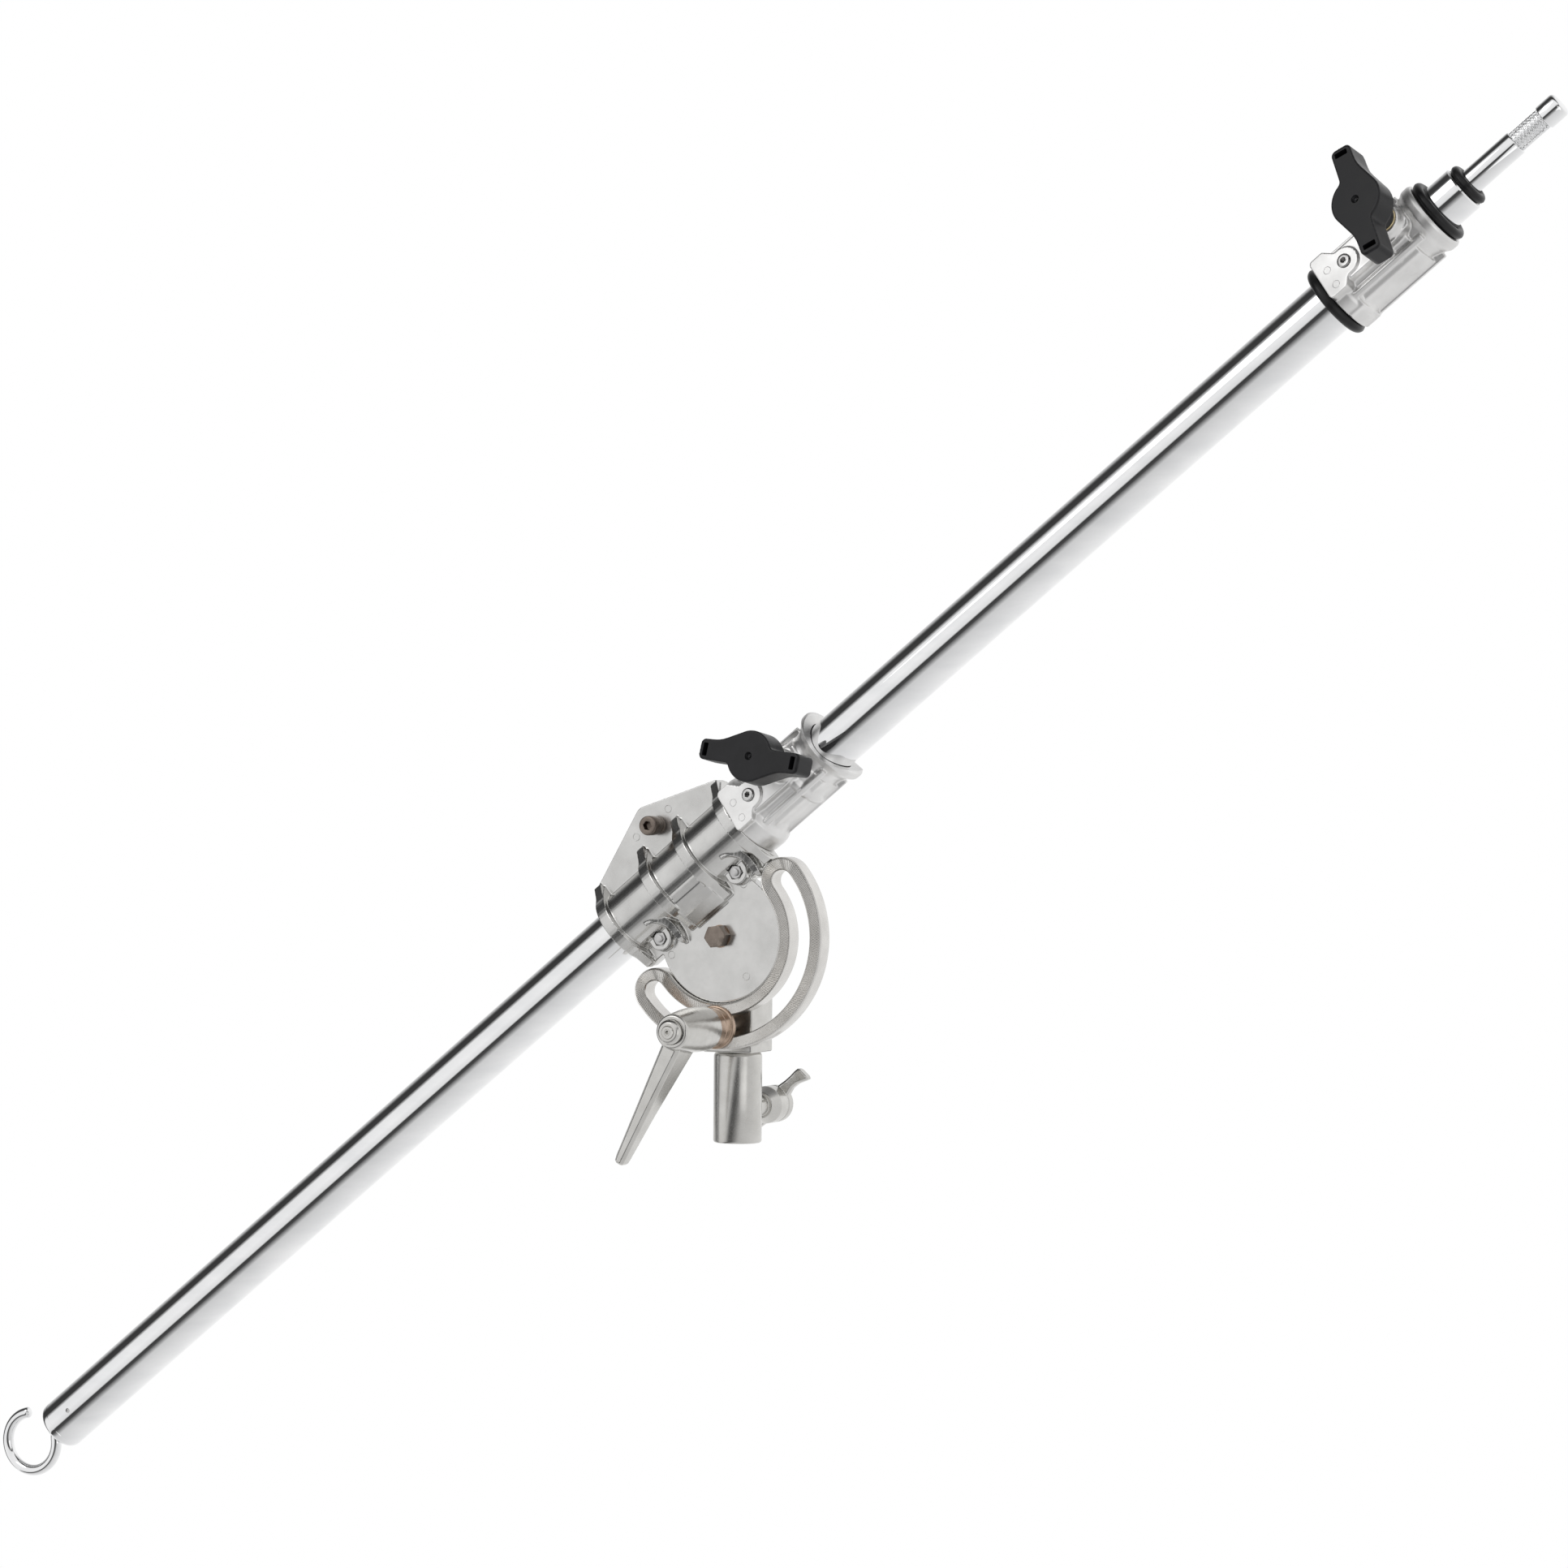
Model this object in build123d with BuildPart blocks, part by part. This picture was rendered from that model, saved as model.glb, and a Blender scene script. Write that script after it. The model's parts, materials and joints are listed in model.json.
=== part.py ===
from build123d import *
import os
from math import cos, radians, sin

os.makedirs("parts", exist_ok=True)

# ---------------------------------------------------------------- driving dimensions (mm)
# Frame: origin at the centre of the stand socket's mouth, +Z up, the boom tilts about Y.
BOOM_TILT = 39.0            # boom above the horizontal at rest, degrees
PIVOT_Z = 137.0             # pivot height above the socket's mouth
TUBE_Y = -24.5              # plane of the boom, in front of the socket's axis
TUBE_OFFSET = 48.0          # pivot to the boom's axis
TUBE_R = 17.5               # outer tube, 35 mm
INNER_R = 15.0              # inner tube, 30 mm
WALL = 1.5                  # wall of both tubes
RUN = 0.08                  # radial running clearance
TOUCH = 0.3                 # gap at curved faces that only rest together

# stations along the boom, measured from the foot of the pivot's perpendicular
BOOM_START = -631.0
PLUG_SEAM = 7.0             # length of the end plug outside the tube
BARREL_START = -54.0
BARREL_END = 62.0           # the lower collar starts here
LOWER_COLLAR_LEN = 80.6
TOP_COLLAR_START = 580.5
TOP_COLLAR_LEN = 76.5
TUBE_END = 652.0
INNER_START = -220.0
INNER_END = 681.0
PIN_SEAT_END = INNER_END + 6.0    # the pin's seat in its socket ends just past the ring
PIN_SHOULDER = 722.5
PIN_CAP = 744.0
PIN_END = 757.5
PIN_R = 8.0                 # 16 mm light pin
PIN_SEAT_R = 7.8            # its seat and its cap are turned a little smaller
PIN_NECK_R = 6.5

# serrated sector
SECTOR_T = 15.0
SECTOR_IN = 43.9
SECTOR_OUT = 74.7
SLOT_R = 59.3
SLOT_W = 14.1

# head castings
DISC_R = 43.5
DISC_TOP = 3.5              # disc face above the boom's plane
PLATE_BACK = -7.5
LINER_R = 19.0
BARREL_R = 22.5
RIB_T = 6.0
RIB_R = 26.5
RIB_EDGE = 32.8             # where the ribs run out above the boom
RIB_FOOT = 32.2             # and below it, just clear of the sector's ends
RIB_STATIONS = (-51.0, -10.5, 21.5, 59.0)
FINGER_STATIONS = (-23.5, 47.0)
BOSS_POINTS = ((-33.5, 24.0), (37.5, 24.0))
BOSS_TOP = 9.5
FLANGE_SCREW = (8.0, 86.0)

# stand socket, block and pivot
SOCKET_R = 16.0
SOCKET_LEN = 59.0
SPIGOT_BORE_R = 8.1
SPIGOT_BORE_LEN = 52.0
NECK_R = 11.0
NECK_LEN = 10.0
BLOCK_HALF = 18.0
BLOCK_BOTTOM = 60.0
BLOCK_FRONT = TUBE_Y + SECTOR_T / 2 + 0.2
BLOCK_BACK = 15.0
BOLT_R = 5.0
STUD_R = 5.0
STUD_Z = PIVOT_Z - SLOT_R
STUD_SEAT = 12.0            # stud length inside the block

# clamp lever, heights forward of the sector's front face
BUSH_R = 12.8
BUSH_FLANGE_R = 14.2
BUSH_LEN = 20.0
STUD_END = 44.0
CORE_R = 9.0
CORE_END = 50.0
HUB_R = 14.6
HUB_TIP_R = 11.3
HUB_END = 65.0
WEB_LOW = 51.0              # web inside the hub that the spring pushes on
WEB_HIGH = 54.0
CAP_R = 8.0
CAP_LOW = 63.2
CAP_END = 71.0
LEVER_REACH = 97.0
LEVER_LEAN = 26.0           # lever from straight down towards -X, degrees

# wing screw, heights behind the socket's axis
WING_Z = 22.0
WING_TIP = 8.4
WING_NECK = 18.5
WING_DRUM = 41.0
WING_BACK = 53.0
WING_END = 62.0
WING_DRUM_R = 12.5
WING_REACH = 31.5
WING_SLOPE = 48.0

# T-knobs, heights above the boom's axis
KNOB_SCREW_R = 4.0
PAD_R = 5.5
PAD_TOP = 21.8
SCREW_BOSS_TOP = 30.5
WASHER_T = 1.2
KNOB_BASE = 32.0
KNOB_TOP = 64.0
KNOB_HUB_R = 15.5
KNOB_WING_LOW = 46.0
KNOB_HALF_SPAN = 38.6
KNOB_WING_HALF = 6.7        # half width of a wing's end
KNOB_STEEP = ((-8.0, 16.4), (4.0, 16.9), (12.0, 13.5), (17.0, 7.4), (24.0, KNOB_WING_HALF))
KNOB_GENTLE = ((24.0, -KNOB_WING_HALF), (16.0, -11.0), (8.0, -16.4))
LOWER_SPIN = 12.0           # clamp screws, from straight forward towards the boom's upper side
TOP_SPIN = 20.5
LOWER_SCREW = 112.0
TOP_SCREW = 635.5
LOWER_WINGS = -47.0         # knob wings from the boom's direction, degrees
TOP_WINGS = -104.0

# clamp collars, heights above the boom's axis
HOUSING_LOW = 8.0
HOUSING_TOP = 23.5
HOUSING_W = 22.0
EAR_TOP = 25.0
EAR_LEN = 30.0
EAR_W = 29.0
EAR_OFFSET = 20.0           # set screw from the collar's start
LOWER_OUTLINE = ((24, 0), (27, 2), (27, 10), (23.2, 18), (23.2, 50), (21.2, 55), (20.8, 65), (22.5, 70),
                 (28, 75.5), (28, 79.6), (27, LOWER_COLLAR_LEN))
TOP_OUTLINE = ((24.4, 0), (25.2, 1), (25.2, 9), (20.6, 17), (20.6, 38), (22.4, 43), (20.6, 50), (20.6, 62),
               (23.5, 70), (23.5, TOP_COLLAR_LEN - 1), (22.5, TOP_COLLAR_LEN))

# balance hook, on the boom's axes
HOOK_ROD_R = 3.8
HOOK_R = 20.5
HOOK_CENTRE = (-656.0, TUBE_OFFSET + 5.6)
HOOK_JOIN = -31.0           # angle on the big arc where the neck joins it, degrees
HOOK_SWEEP = -270.0

# ---------------------------------------------------------------- planes
BOOM_DIR = (cos(radians(BOOM_TILT)), 0, sin(radians(BOOM_TILT)))
HEAD = Plane(origin=(0, TUBE_Y, PIVOT_Z), x_dir=BOOM_DIR, z_dir=(0, -1, 0))


def across(station, spin=0.0):
    """Plane square to the boom; its x points forward, turned by spin towards the boom's upper side."""
    centre = HEAD.from_local_coords(Vector(station, TUBE_OFFSET, 0))
    forward = HEAD.z_dir * cos(radians(spin)) + HEAD.y_dir * sin(radians(spin))
    return Plane(origin=centre, x_dir=forward, z_dir=HEAD.x_dir)


def facing(station, spin, height=0.0):
    """Plane square to a clamp screw, at a height above the boom's axis; its x points up the boom."""
    base = across(station, spin)
    return Plane(origin=base.origin + base.x_dir * height, x_dir=HEAD.x_dir, z_dir=base.x_dir)


def spun(plane, angle):
    """The same plane with its x turned by an angle about its normal."""
    return Plane(origin=plane.origin, z_dir=plane.z_dir,
                 x_dir=plane.x_dir * cos(radians(angle)) + plane.y_dir * sin(radians(angle)))


def on_head(point, w):
    """Plane parallel to the head's face, centred on a point (u, v) of it at level w."""
    return Plane(origin=HEAD.from_local_coords(Vector(*point, w)), x_dir=HEAD.x_dir, z_dir=HEAD.z_dir)


# ---------------------------------------------------------------- shared shapes
def section_of(plane):
    """Plane through another plane's normal, for a profile that is turned about it."""
    return Plane(origin=plane.origin, x_dir=plane.x_dir, z_dir=-plane.y_dir)


def turn(plane, outline, mode=Mode.ADD):
    """Turn a closed outline of (radius, height) points about the plane's normal."""
    with BuildSketch(section_of(plane)) as profile:
        with BuildLine():
            Polyline(*outline, close=True)
        make_face()
    revolve(profile.sketch, axis=Axis(plane.origin, plane.z_dir), mode=mode)


def sleeve(plane, inner, outer, low, high):
    """Plain ring or bush between two heights."""
    turn(plane, ((inner, low), (outer, low), (outer, high), (inner, high)))


def post(plane, radius, low, high, mode=Mode.ADD):
    """Round post between two heights above the plane."""
    with BuildSketch(plane.offset(low)) as profile:
        Circle(radius)
    extrude(profile.sketch, amount=high - low, mode=mode)


def hexagon(plane, across_flats, low, high, mode=Mode.ADD):
    """Hexagonal post between two heights above the plane."""
    with BuildSketch(plane.offset(low)) as profile:
        RegularPolygon(across_flats / 2, 6, major_radius=False)
    extrude(profile.sketch, amount=high - low, mode=mode)


def round_ring(plane, major, minor):
    """Ring of round section, such as an O-ring."""
    with BuildSketch(section_of(plane)) as profile:
        with Locations((major, 0)):
            Circle(minor)
    revolve(profile.sketch, axis=Axis(plane.origin, plane.z_dir))


def socket_screw(plane, head_r, head_low, head_high, shank_r, shank_low, key):
    """Socket head screw with a hexagonal key recess."""
    turn(plane, ((0, shank_low), (shank_r, shank_low), (shank_r, head_low), (head_r, head_low),
                 (head_r, head_high - 0.6), (head_r - 0.6, head_high), (0, head_high)))
    hexagon(plane, key, head_high - 0.55 * (head_high - head_low), head_high, mode=Mode.SUBTRACT)


def save(builder, label):
    """Label a finished piece and write its STEP file."""
    builder.part.label = label
    export_step(builder.part, f"parts/{label}.step")


# ---------------------------------------------------------------- stand socket, block and pivot
WING = Plane(origin=(0, 0, WING_Z), x_dir=(1, 0, 0), z_dir=(0, 1, 0))
FRONT_PIVOT = Plane(origin=(0, TUBE_Y, PIVOT_Z), x_dir=(1, 0, 0), z_dir=(0, -1, 0))
REAR_PIVOT = Plane(origin=(0, BLOCK_BACK, PIVOT_Z), x_dir=(1, 0, 0), z_dir=(0, 1, 0))
STUD = Plane(origin=(0, TUBE_Y - SECTOR_T / 2, STUD_Z), x_dir=(1, 0, 0), z_dir=(0, -1, 0))

with BuildPart() as stand_socket:
    neck_top = SOCKET_LEN + 1 + NECK_LEN
    turn(Plane.XY, ((0, 0), (SOCKET_R - 1.5, 0), (SOCKET_R, 1.5), (SOCKET_R, SOCKET_LEN - 0.8),
                    (SOCKET_R - 1.8, SOCKET_LEN + 1), (NECK_R, SOCKET_LEN + 1), (NECK_R, neck_top), (0, neck_top)))
    post(Plane.XY, SPIGOT_BORE_R, 0, SPIGOT_BORE_LEN, mode=Mode.SUBTRACT)
    post(WING, STUD_R + RUN, 0, 2 * SOCKET_R, mode=Mode.SUBTRACT)
save(stand_socket, "stand_socket")

with BuildPart() as pivot_block:
    block_depth = BLOCK_BACK - BLOCK_FRONT
    block_drop = PIVOT_Z - BLOCK_BOTTOM
    with BuildSketch(FRONT_PIVOT.offset(TUBE_Y - BLOCK_FRONT)):
        Circle(BLOCK_HALF)
        with Locations((0, -block_drop / 2)):
            Rectangle(2 * BLOCK_HALF, block_drop)
    extrude(amount=-block_depth)
    fillet(pivot_block.edges().filter_by(Axis.Z), radius=1.5)
    post(Plane.XY, NECK_R, BLOCK_BOTTOM - 1, SOCKET_LEN + 1 + NECK_LEN, mode=Mode.SUBTRACT)
    post(REAR_PIVOT, BOLT_R, -block_depth, 0, mode=Mode.SUBTRACT)
    post(STUD, STUD_R, -(SECTOR_T + 0.2 + STUD_SEAT), 0, mode=Mode.SUBTRACT)
save(pivot_block, "pivot_block")

with BuildPart() as pivot_bolt:
    bolt_low = -(BLOCK_BACK - TUBE_Y + 11)
    post(FRONT_PIVOT, BOLT_R, bolt_low, DISC_TOP + 1)
    hexagon(FRONT_PIVOT, 13.5, DISC_TOP + 0.2, DISC_TOP + 8.2)
save(pivot_bolt, "pivot_bolt")

with BuildPart() as pivot_washer:
    sleeve(REAR_PIVOT, BOLT_R, 10.0, 0, 1.8)
save(pivot_washer, "pivot_washer")

with BuildPart() as pivot_nut:
    hexagon(REAR_PIVOT, 16.0, 1.8, 9.8)
    post(REAR_PIVOT, BOLT_R, 1.8, 9.8, mode=Mode.SUBTRACT)
save(pivot_nut, "pivot_nut")

with BuildPart() as clamp_stud:
    stud_low = -(SECTOR_T + 0.2 + STUD_SEAT)
    turn(STUD, ((0, stud_low), (STUD_R, stud_low), (STUD_R, STUD_END - 1), (STUD_R - 1, STUD_END), (0, STUD_END)))
save(clamp_stud, "clamp_stud")


# ---------------------------------------------------------------- tilting head
def band_face(radius, width):
    """Half-circle band below the pivot with round ends."""
    with BuildSketch(HEAD.offset(SECTOR_T / 2)) as band:
        with BuildLine():
            CenterArc((0, 0), radius + width / 2, 180, 180)
            CenterArc((radius, 0), width / 2, 0, 180)
            CenterArc((0, 0), radius - width / 2, 180, 180)
            CenterArc((-radius, 0), width / 2, 0, 180)
        make_face()
    return band.sketch


with BuildPart() as serrated_sector:
    extrude(band_face((SECTOR_IN + SECTOR_OUT) / 2, SECTOR_OUT - SECTOR_IN), amount=-SECTOR_T)
    chamfer(serrated_sector.faces().sort_by(Axis.Y)[0].edges(), length=1.0)
    extrude(band_face(SLOT_R, SLOT_W), amount=-SECTOR_T, mode=Mode.SUBTRACT)
save(serrated_sector, "serrated_sector")


def head_plate(low, high):
    """Flat of a head casting between two levels: the pivot disc and the flange past the barrel."""
    with BuildSketch(HEAD.offset(high)) as outline:
        with BuildLine():
            FilletPolyline((BARREL_START, 16.2), (BARREL_END, 16.2), (BARREL_END, 82), (5, 103),
                           (BARREL_START, 80), radius=3, close=True)
        make_face()
        Circle(DISC_R)
    extrude(outline.sketch, amount=low - high)


def half_barrel(side):
    """Half of the barrel round the boom, in front (+1) or behind (-1) of the boom's plane."""
    with BuildSketch(across(BARREL_START)) as half:
        Circle(BARREL_R)
        with Locations((-side * BARREL_R, 0)):
            Rectangle(2 * BARREL_R, 3 * BARREL_R, mode=Mode.SUBTRACT)
    extrude(half.sketch, amount=BARREL_END - BARREL_START)


def rib(station, side, foot):
    """Rib across the barrel: a bow that runs out straight to the flange and to its foot."""
    middle = 0 if side > 0 else 180
    with BuildSketch(across(station - RIB_T / 2)) as bow:
        with BuildLine():
            CenterArc((0, 0), RIB_R, middle - 60, 120)
            Line((0, -RIB_EDGE), (side * 5, -RIB_EDGE))
            Line((0, foot), (side * 6.5, foot))
        make_hull()
    extrude(bow.sketch, amount=RIB_T)


def gusset(start, width, outline):
    """Web from the barrel down to the disc; its outline is square to the boom."""
    with BuildSketch(across(start)) as web:
        with BuildLine():
            Polyline(*outline, close=True)
        make_face()
    extrude(web.sketch, amount=width)


def clear_barrel_and_screws():
    """Bores shared by both head castings."""
    post(across(BARREL_START - 1), LINER_R, 0, BARREL_END - BARREL_START + 2, mode=Mode.SUBTRACT)
    post(HEAD, 7.5, PLATE_BACK - 1, DISC_TOP + 1, mode=Mode.SUBTRACT)
    post(on_head(FLANGE_SCREW, 0), 4.0, PLATE_BACK - 1, DISC_TOP + 1, mode=Mode.SUBTRACT)
    for point in BOSS_POINTS:
        post(on_head(point, 0), 2.5, PLATE_BACK - 1, BOSS_TOP + 1, mode=Mode.SUBTRACT)


with BuildPart() as front_casting:
    head_plate(0, DISC_TOP)
    half_barrel(1)
    for station in RIB_STATIONS:
        rib(station, 1, RIB_FOOT)
    for station in FINGER_STATIONS:
        gusset(station - 2.5, 5.0, ((0, 15), (0, 33.2), (7, 32.6), (12, 27), (19, 15)))
    gusset(-8.0, 21.0, ((0, 12), (0, 34), (7.5, 33.5), (17, 21), (21, 12)))
    for point in BOSS_POINTS:
        post(on_head(point, 0), 7.8, 0, BOSS_TOP)
    clear_barrel_and_screws()
    for point in BOSS_POINTS:
        hexagon(on_head(point, 0), 8.6, BOSS_TOP - 3, BOSS_TOP + 14, mode=Mode.SUBTRACT)
save(front_casting, "front_casting")

with BuildPart() as rear_casting:
    head_plate(PLATE_BACK, 0)
    half_barrel(-1)
    for station in RIB_STATIONS:
        rib(station, -1, 24.0)
    clear_barrel_and_screws()
    for point in BOSS_POINTS:
        post(on_head(point, 0), 4.6, PLATE_BACK - 16, PLATE_BACK + 4.5, mode=Mode.SUBTRACT)
save(rear_casting, "rear_casting")

with BuildPart() as pivot_bush:
    sleeve(HEAD, BOLT_R + RUN, 7.5, PLATE_BACK, DISC_TOP)
save(pivot_bush, "pivot_bush")

with BuildPart() as barrel_liner:
    sleeve(across(BARREL_START), TUBE_R + RUN, LINER_R, 0, BARREL_END - BARREL_START)
save(barrel_liner, "barrel_liner")

with BuildPart() as shell_screws:
    for point in BOSS_POINTS:
        rear = on_head(point, 0)
        back = Plane(origin=rear.origin, x_dir=rear.x_dir, z_dir=-rear.z_dir)
        socket_screw(back, 4.4, 3.0, 7.4, 2.5, -(BOSS_TOP + 2.2), 4.0)
save(shell_screws, "shell_screws")

with BuildPart() as shell_nuts:
    for point in BOSS_POINTS:
        hexagon(on_head(point, 0), 8.0, BOSS_TOP - 3, BOSS_TOP + 0.8)
        post(on_head(point, 0), 2.5, BOSS_TOP - 3, BOSS_TOP + 0.8, mode=Mode.SUBTRACT)
save(shell_nuts, "shell_nuts")

with BuildPart() as flange_screw:
    socket_screw(on_head(FLANGE_SCREW, 0), 6.5, DISC_TOP + 4, DISC_TOP + 12.5, 4.0, PLATE_BACK - 6, 6.0)
save(flange_screw, "flange_screw")

with BuildPart() as flange_spacer:
    sleeve(on_head(FLANGE_SCREW, 0), 4.0, 5.8, DISC_TOP, DISC_TOP + 4)
save(flange_spacer, "flange_spacer")

with BuildPart() as flange_nut:
    hexagon(on_head(FLANGE_SCREW, 0), 13.0, PLATE_BACK - 5, PLATE_BACK)
    post(on_head(FLANGE_SCREW, 0), 4.0, PLATE_BACK - 5, PLATE_BACK, mode=Mode.SUBTRACT)
save(flange_nut, "flange_nut")


# ---------------------------------------------------------------- clamp collars
def collar(start, length, spin, screw, bore, outline):
    """Cast collar: a turned barrel with a flat-topped housing, an ear and a boss for the clamp screw."""
    base = across(start, spin)
    face = facing(start, spin)
    reach = screw - start
    turn(base, ((0, 0), *outline, (0, length)))
    with BuildSketch(face.offset(EAR_TOP)) as foot:
        Rectangle(EAR_LEN, 2 * EAR_W)
    extrude(foot.sketch, amount=EAR_TOP, mode=Mode.SUBTRACT)
    with BuildSketch(face.offset(HOUSING_LOW)) as housing:
        with Locations((reach / 2 + 7, 0)):
            RectangleRounded(reach + 6, HOUSING_W, radius=4)
    extrude(housing.sketch, amount=HOUSING_TOP - HOUSING_LOW)
    with BuildSketch(face.offset(HOUSING_LOW)) as ear:
        with Locations((EAR_LEN / 2 + 0.5, 0)):
            RectangleRounded(EAR_LEN, EAR_W, radius=5)
    extrude(ear.sketch, amount=EAR_TOP - HOUSING_LOW)
    post(facing(screw, spin), 10.0, 10, SCREW_BOSS_TOP)
    post(base, bore, -1, length + 1, mode=Mode.SUBTRACT)
    post(facing(screw, spin), PAD_R + RUN, 0, PAD_TOP + 2.2, mode=Mode.SUBTRACT)
    post(facing(screw, spin), KNOB_SCREW_R + RUN, 0, SCREW_BOSS_TOP + 1, mode=Mode.SUBTRACT)
    post(facing(start + EAR_OFFSET, spin), 3.0, 0, EAR_TOP + 2, mode=Mode.SUBTRACT)


def ear_screw(start, spin, low):
    """Set screw in a collar's ear, with a key recess."""
    plane = facing(start + EAR_OFFSET, spin)
    turn(plane, ((0, low), (3, low), (3, EAR_TOP), (4.6, EAR_TOP), (4.6, EAR_TOP + 1), (4.0, EAR_TOP + 1.6),
                 (0, EAR_TOP + 1.6)))
    hexagon(plane, 3.6, EAR_TOP - 1, EAR_TOP + 2, mode=Mode.SUBTRACT)


with BuildPart() as lower_collar:
    collar(BARREL_END, LOWER_COLLAR_LEN, LOWER_SPIN, LOWER_SCREW, TUBE_R + 0.6, LOWER_OUTLINE)
save(lower_collar, "lower_collar")

with BuildPart() as lower_ear_screw:
    ear_screw(BARREL_END, LOWER_SPIN, TUBE_R + 1.2)
save(lower_ear_screw, "lower_ear_screw")

with BuildPart() as top_collar:
    collar(TOP_COLLAR_START, TOP_COLLAR_LEN, TOP_SPIN, TOP_SCREW, TUBE_R, TOP_OUTLINE)
save(top_collar, "top_collar")

with BuildPart() as top_ear_screw:
    ear_screw(TOP_COLLAR_START, TOP_SPIN, TUBE_R)
save(top_ear_screw, "top_ear_screw")

# ---------------------------------------------------------------- outer tube
BOOM = across(0)

with BuildPart() as outer_tube:
    sleeve(BOOM, TUBE_R - WALL, TUBE_R, BOOM_START + PLUG_SEAM, TUBE_END)
    post(facing(TOP_SCREW, TOP_SPIN), PAD_R - 0.5, 0, TUBE_R + 1, mode=Mode.SUBTRACT)
    post(facing(BOOM_START + 24.5, 0), 1.7, -TUBE_R - 1, TUBE_R + 1, mode=Mode.SUBTRACT)
save(outer_tube, "outer_tube")

with BuildPart() as end_plug:
    plug = across(BOOM_START)
    turn(plug, ((0, 0), (13.2, 0), (15.4, 0.7), (16.9, 2.2), (TUBE_R, 4.2), (TUBE_R, PLUG_SEAM),
                (TUBE_R - WALL, PLUG_SEAM), (TUBE_R - WALL, 31), (0, 31)))
    post(plug, HOOK_ROD_R, -1, 21, mode=Mode.SUBTRACT)
    turn(plug, ((0, -1), (HOOK_ROD_R + 1.5, -1), (HOOK_ROD_R + 1.5, 0), (HOOK_ROD_R, 3), (0, 3)), mode=Mode.SUBTRACT)
    post(facing(BOOM_START + 24.5, 0), 1.7, -TUBE_R, TUBE_R, mode=Mode.SUBTRACT)
save(end_plug, "end_plug")

with BuildPart() as plug_rivet:
    post(facing(BOOM_START + 24.5, 0), 1.7, -TUBE_R + 1, TUBE_R - 1)
save(plug_rivet, "plug_rivet")

with BuildPart() as balance_hook:
    join = radians(HOOK_JOIN)
    turn_angle = 90 + HOOK_JOIN
    neck_drop = TUBE_OFFSET - HOOK_CENTRE[1] - HOOK_R * sin(join)
    neck_r = neck_drop / (1 - cos(radians(turn_angle)))
    neck_u = HOOK_CENTRE[0] + HOOK_R * cos(join) + neck_r * sin(radians(turn_angle))
    with BuildLine(HEAD) as hook_path:
        Line((BOOM_START + 21, TUBE_OFFSET), (neck_u, TUBE_OFFSET))
        CenterArc((neck_u, TUBE_OFFSET - neck_r), neck_r, 90, turn_angle)
        CenterArc(HOOK_CENTRE, HOOK_R, HOOK_JOIN, HOOK_SWEEP)
    with BuildSketch(across(BOOM_START + 21)):
        Circle(HOOK_ROD_R)
    sweep(path=hook_path.wires()[0])
save(balance_hook, "balance_hook")

with BuildPart() as tube_bush:
    sleeve(BOOM, INNER_R + RUN, TUBE_R - WALL, TOP_COLLAR_START + 12, TOP_COLLAR_START + TOP_COLLAR_LEN - 1)
    post(facing(TOP_SCREW, TOP_SPIN), PAD_R - 0.5, 0, TUBE_R + 1, mode=Mode.SUBTRACT)
save(tube_bush, "tube_bush")

with BuildPart() as lower_bump_ring:
    round_ring(across(TOP_COLLAR_START - 3.55), TUBE_R + 3.55, 3.5)
save(lower_bump_ring, "lower_bump_ring")

with BuildPart() as upper_bump_ring:
    round_ring(across(TOP_COLLAR_START + TOP_COLLAR_LEN + 3.05), INNER_R + 3.6, 3.0)
save(upper_bump_ring, "upper_bump_ring")

# ---------------------------------------------------------------- inner tube and light pin
PIN_DOWEL = INNER_END - 19

with BuildPart() as inner_tube:
    sleeve(BOOM, INNER_R - WALL, INNER_R, INNER_START, INNER_END)
    post(facing(PIN_DOWEL, 0), 2.0, -INNER_R - 1, INNER_R + 1, mode=Mode.SUBTRACT)
save(inner_tube, "inner_tube")

with BuildPart() as guide_ring:
    sleeve(BOOM, INNER_R, TUBE_R - WALL - RUN, INNER_START, INNER_START + 14)
save(guide_ring, "guide_ring")

with BuildPart() as pin_socket:
    sleeve(BOOM, PIN_SEAT_R, INNER_R - WALL, INNER_END - 45, INNER_END)
    post(facing(PIN_DOWEL, 0), 2.0, -INNER_R, INNER_R, mode=Mode.SUBTRACT)
save(pin_socket, "pin_socket")

with BuildPart() as light_pin:
    turn(BOOM, ((0, INNER_END - 45), (PIN_SEAT_R, INNER_END - 45), (PIN_SEAT_R, PIN_SEAT_END), (PIN_R, PIN_SEAT_END),
                (PIN_R, PIN_SHOULDER - 0.8), (7.2, PIN_SHOULDER), (PIN_NECK_R, PIN_SHOULDER), (PIN_NECK_R, PIN_CAP),
                (7.4, PIN_CAP), (PIN_SEAT_R, PIN_CAP + 0.4), (PIN_SEAT_R, PIN_END - 1.5), (6.3, PIN_END), (0, PIN_END)))
    post(facing(PIN_DOWEL, 0), 2.0, -INNER_R, INNER_R, mode=Mode.SUBTRACT)
save(light_pin, "light_pin")

with BuildPart() as pin_dowel:
    post(facing(PIN_DOWEL, 0), 2.0, -INNER_R + 0.2, INNER_R - 0.2)
save(pin_dowel, "pin_dowel")

with BuildPart() as pin_ring:
    round_ring(across(INNER_END + 2.9), 11.2, 2.9)
save(pin_ring, "pin_ring")


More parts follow.
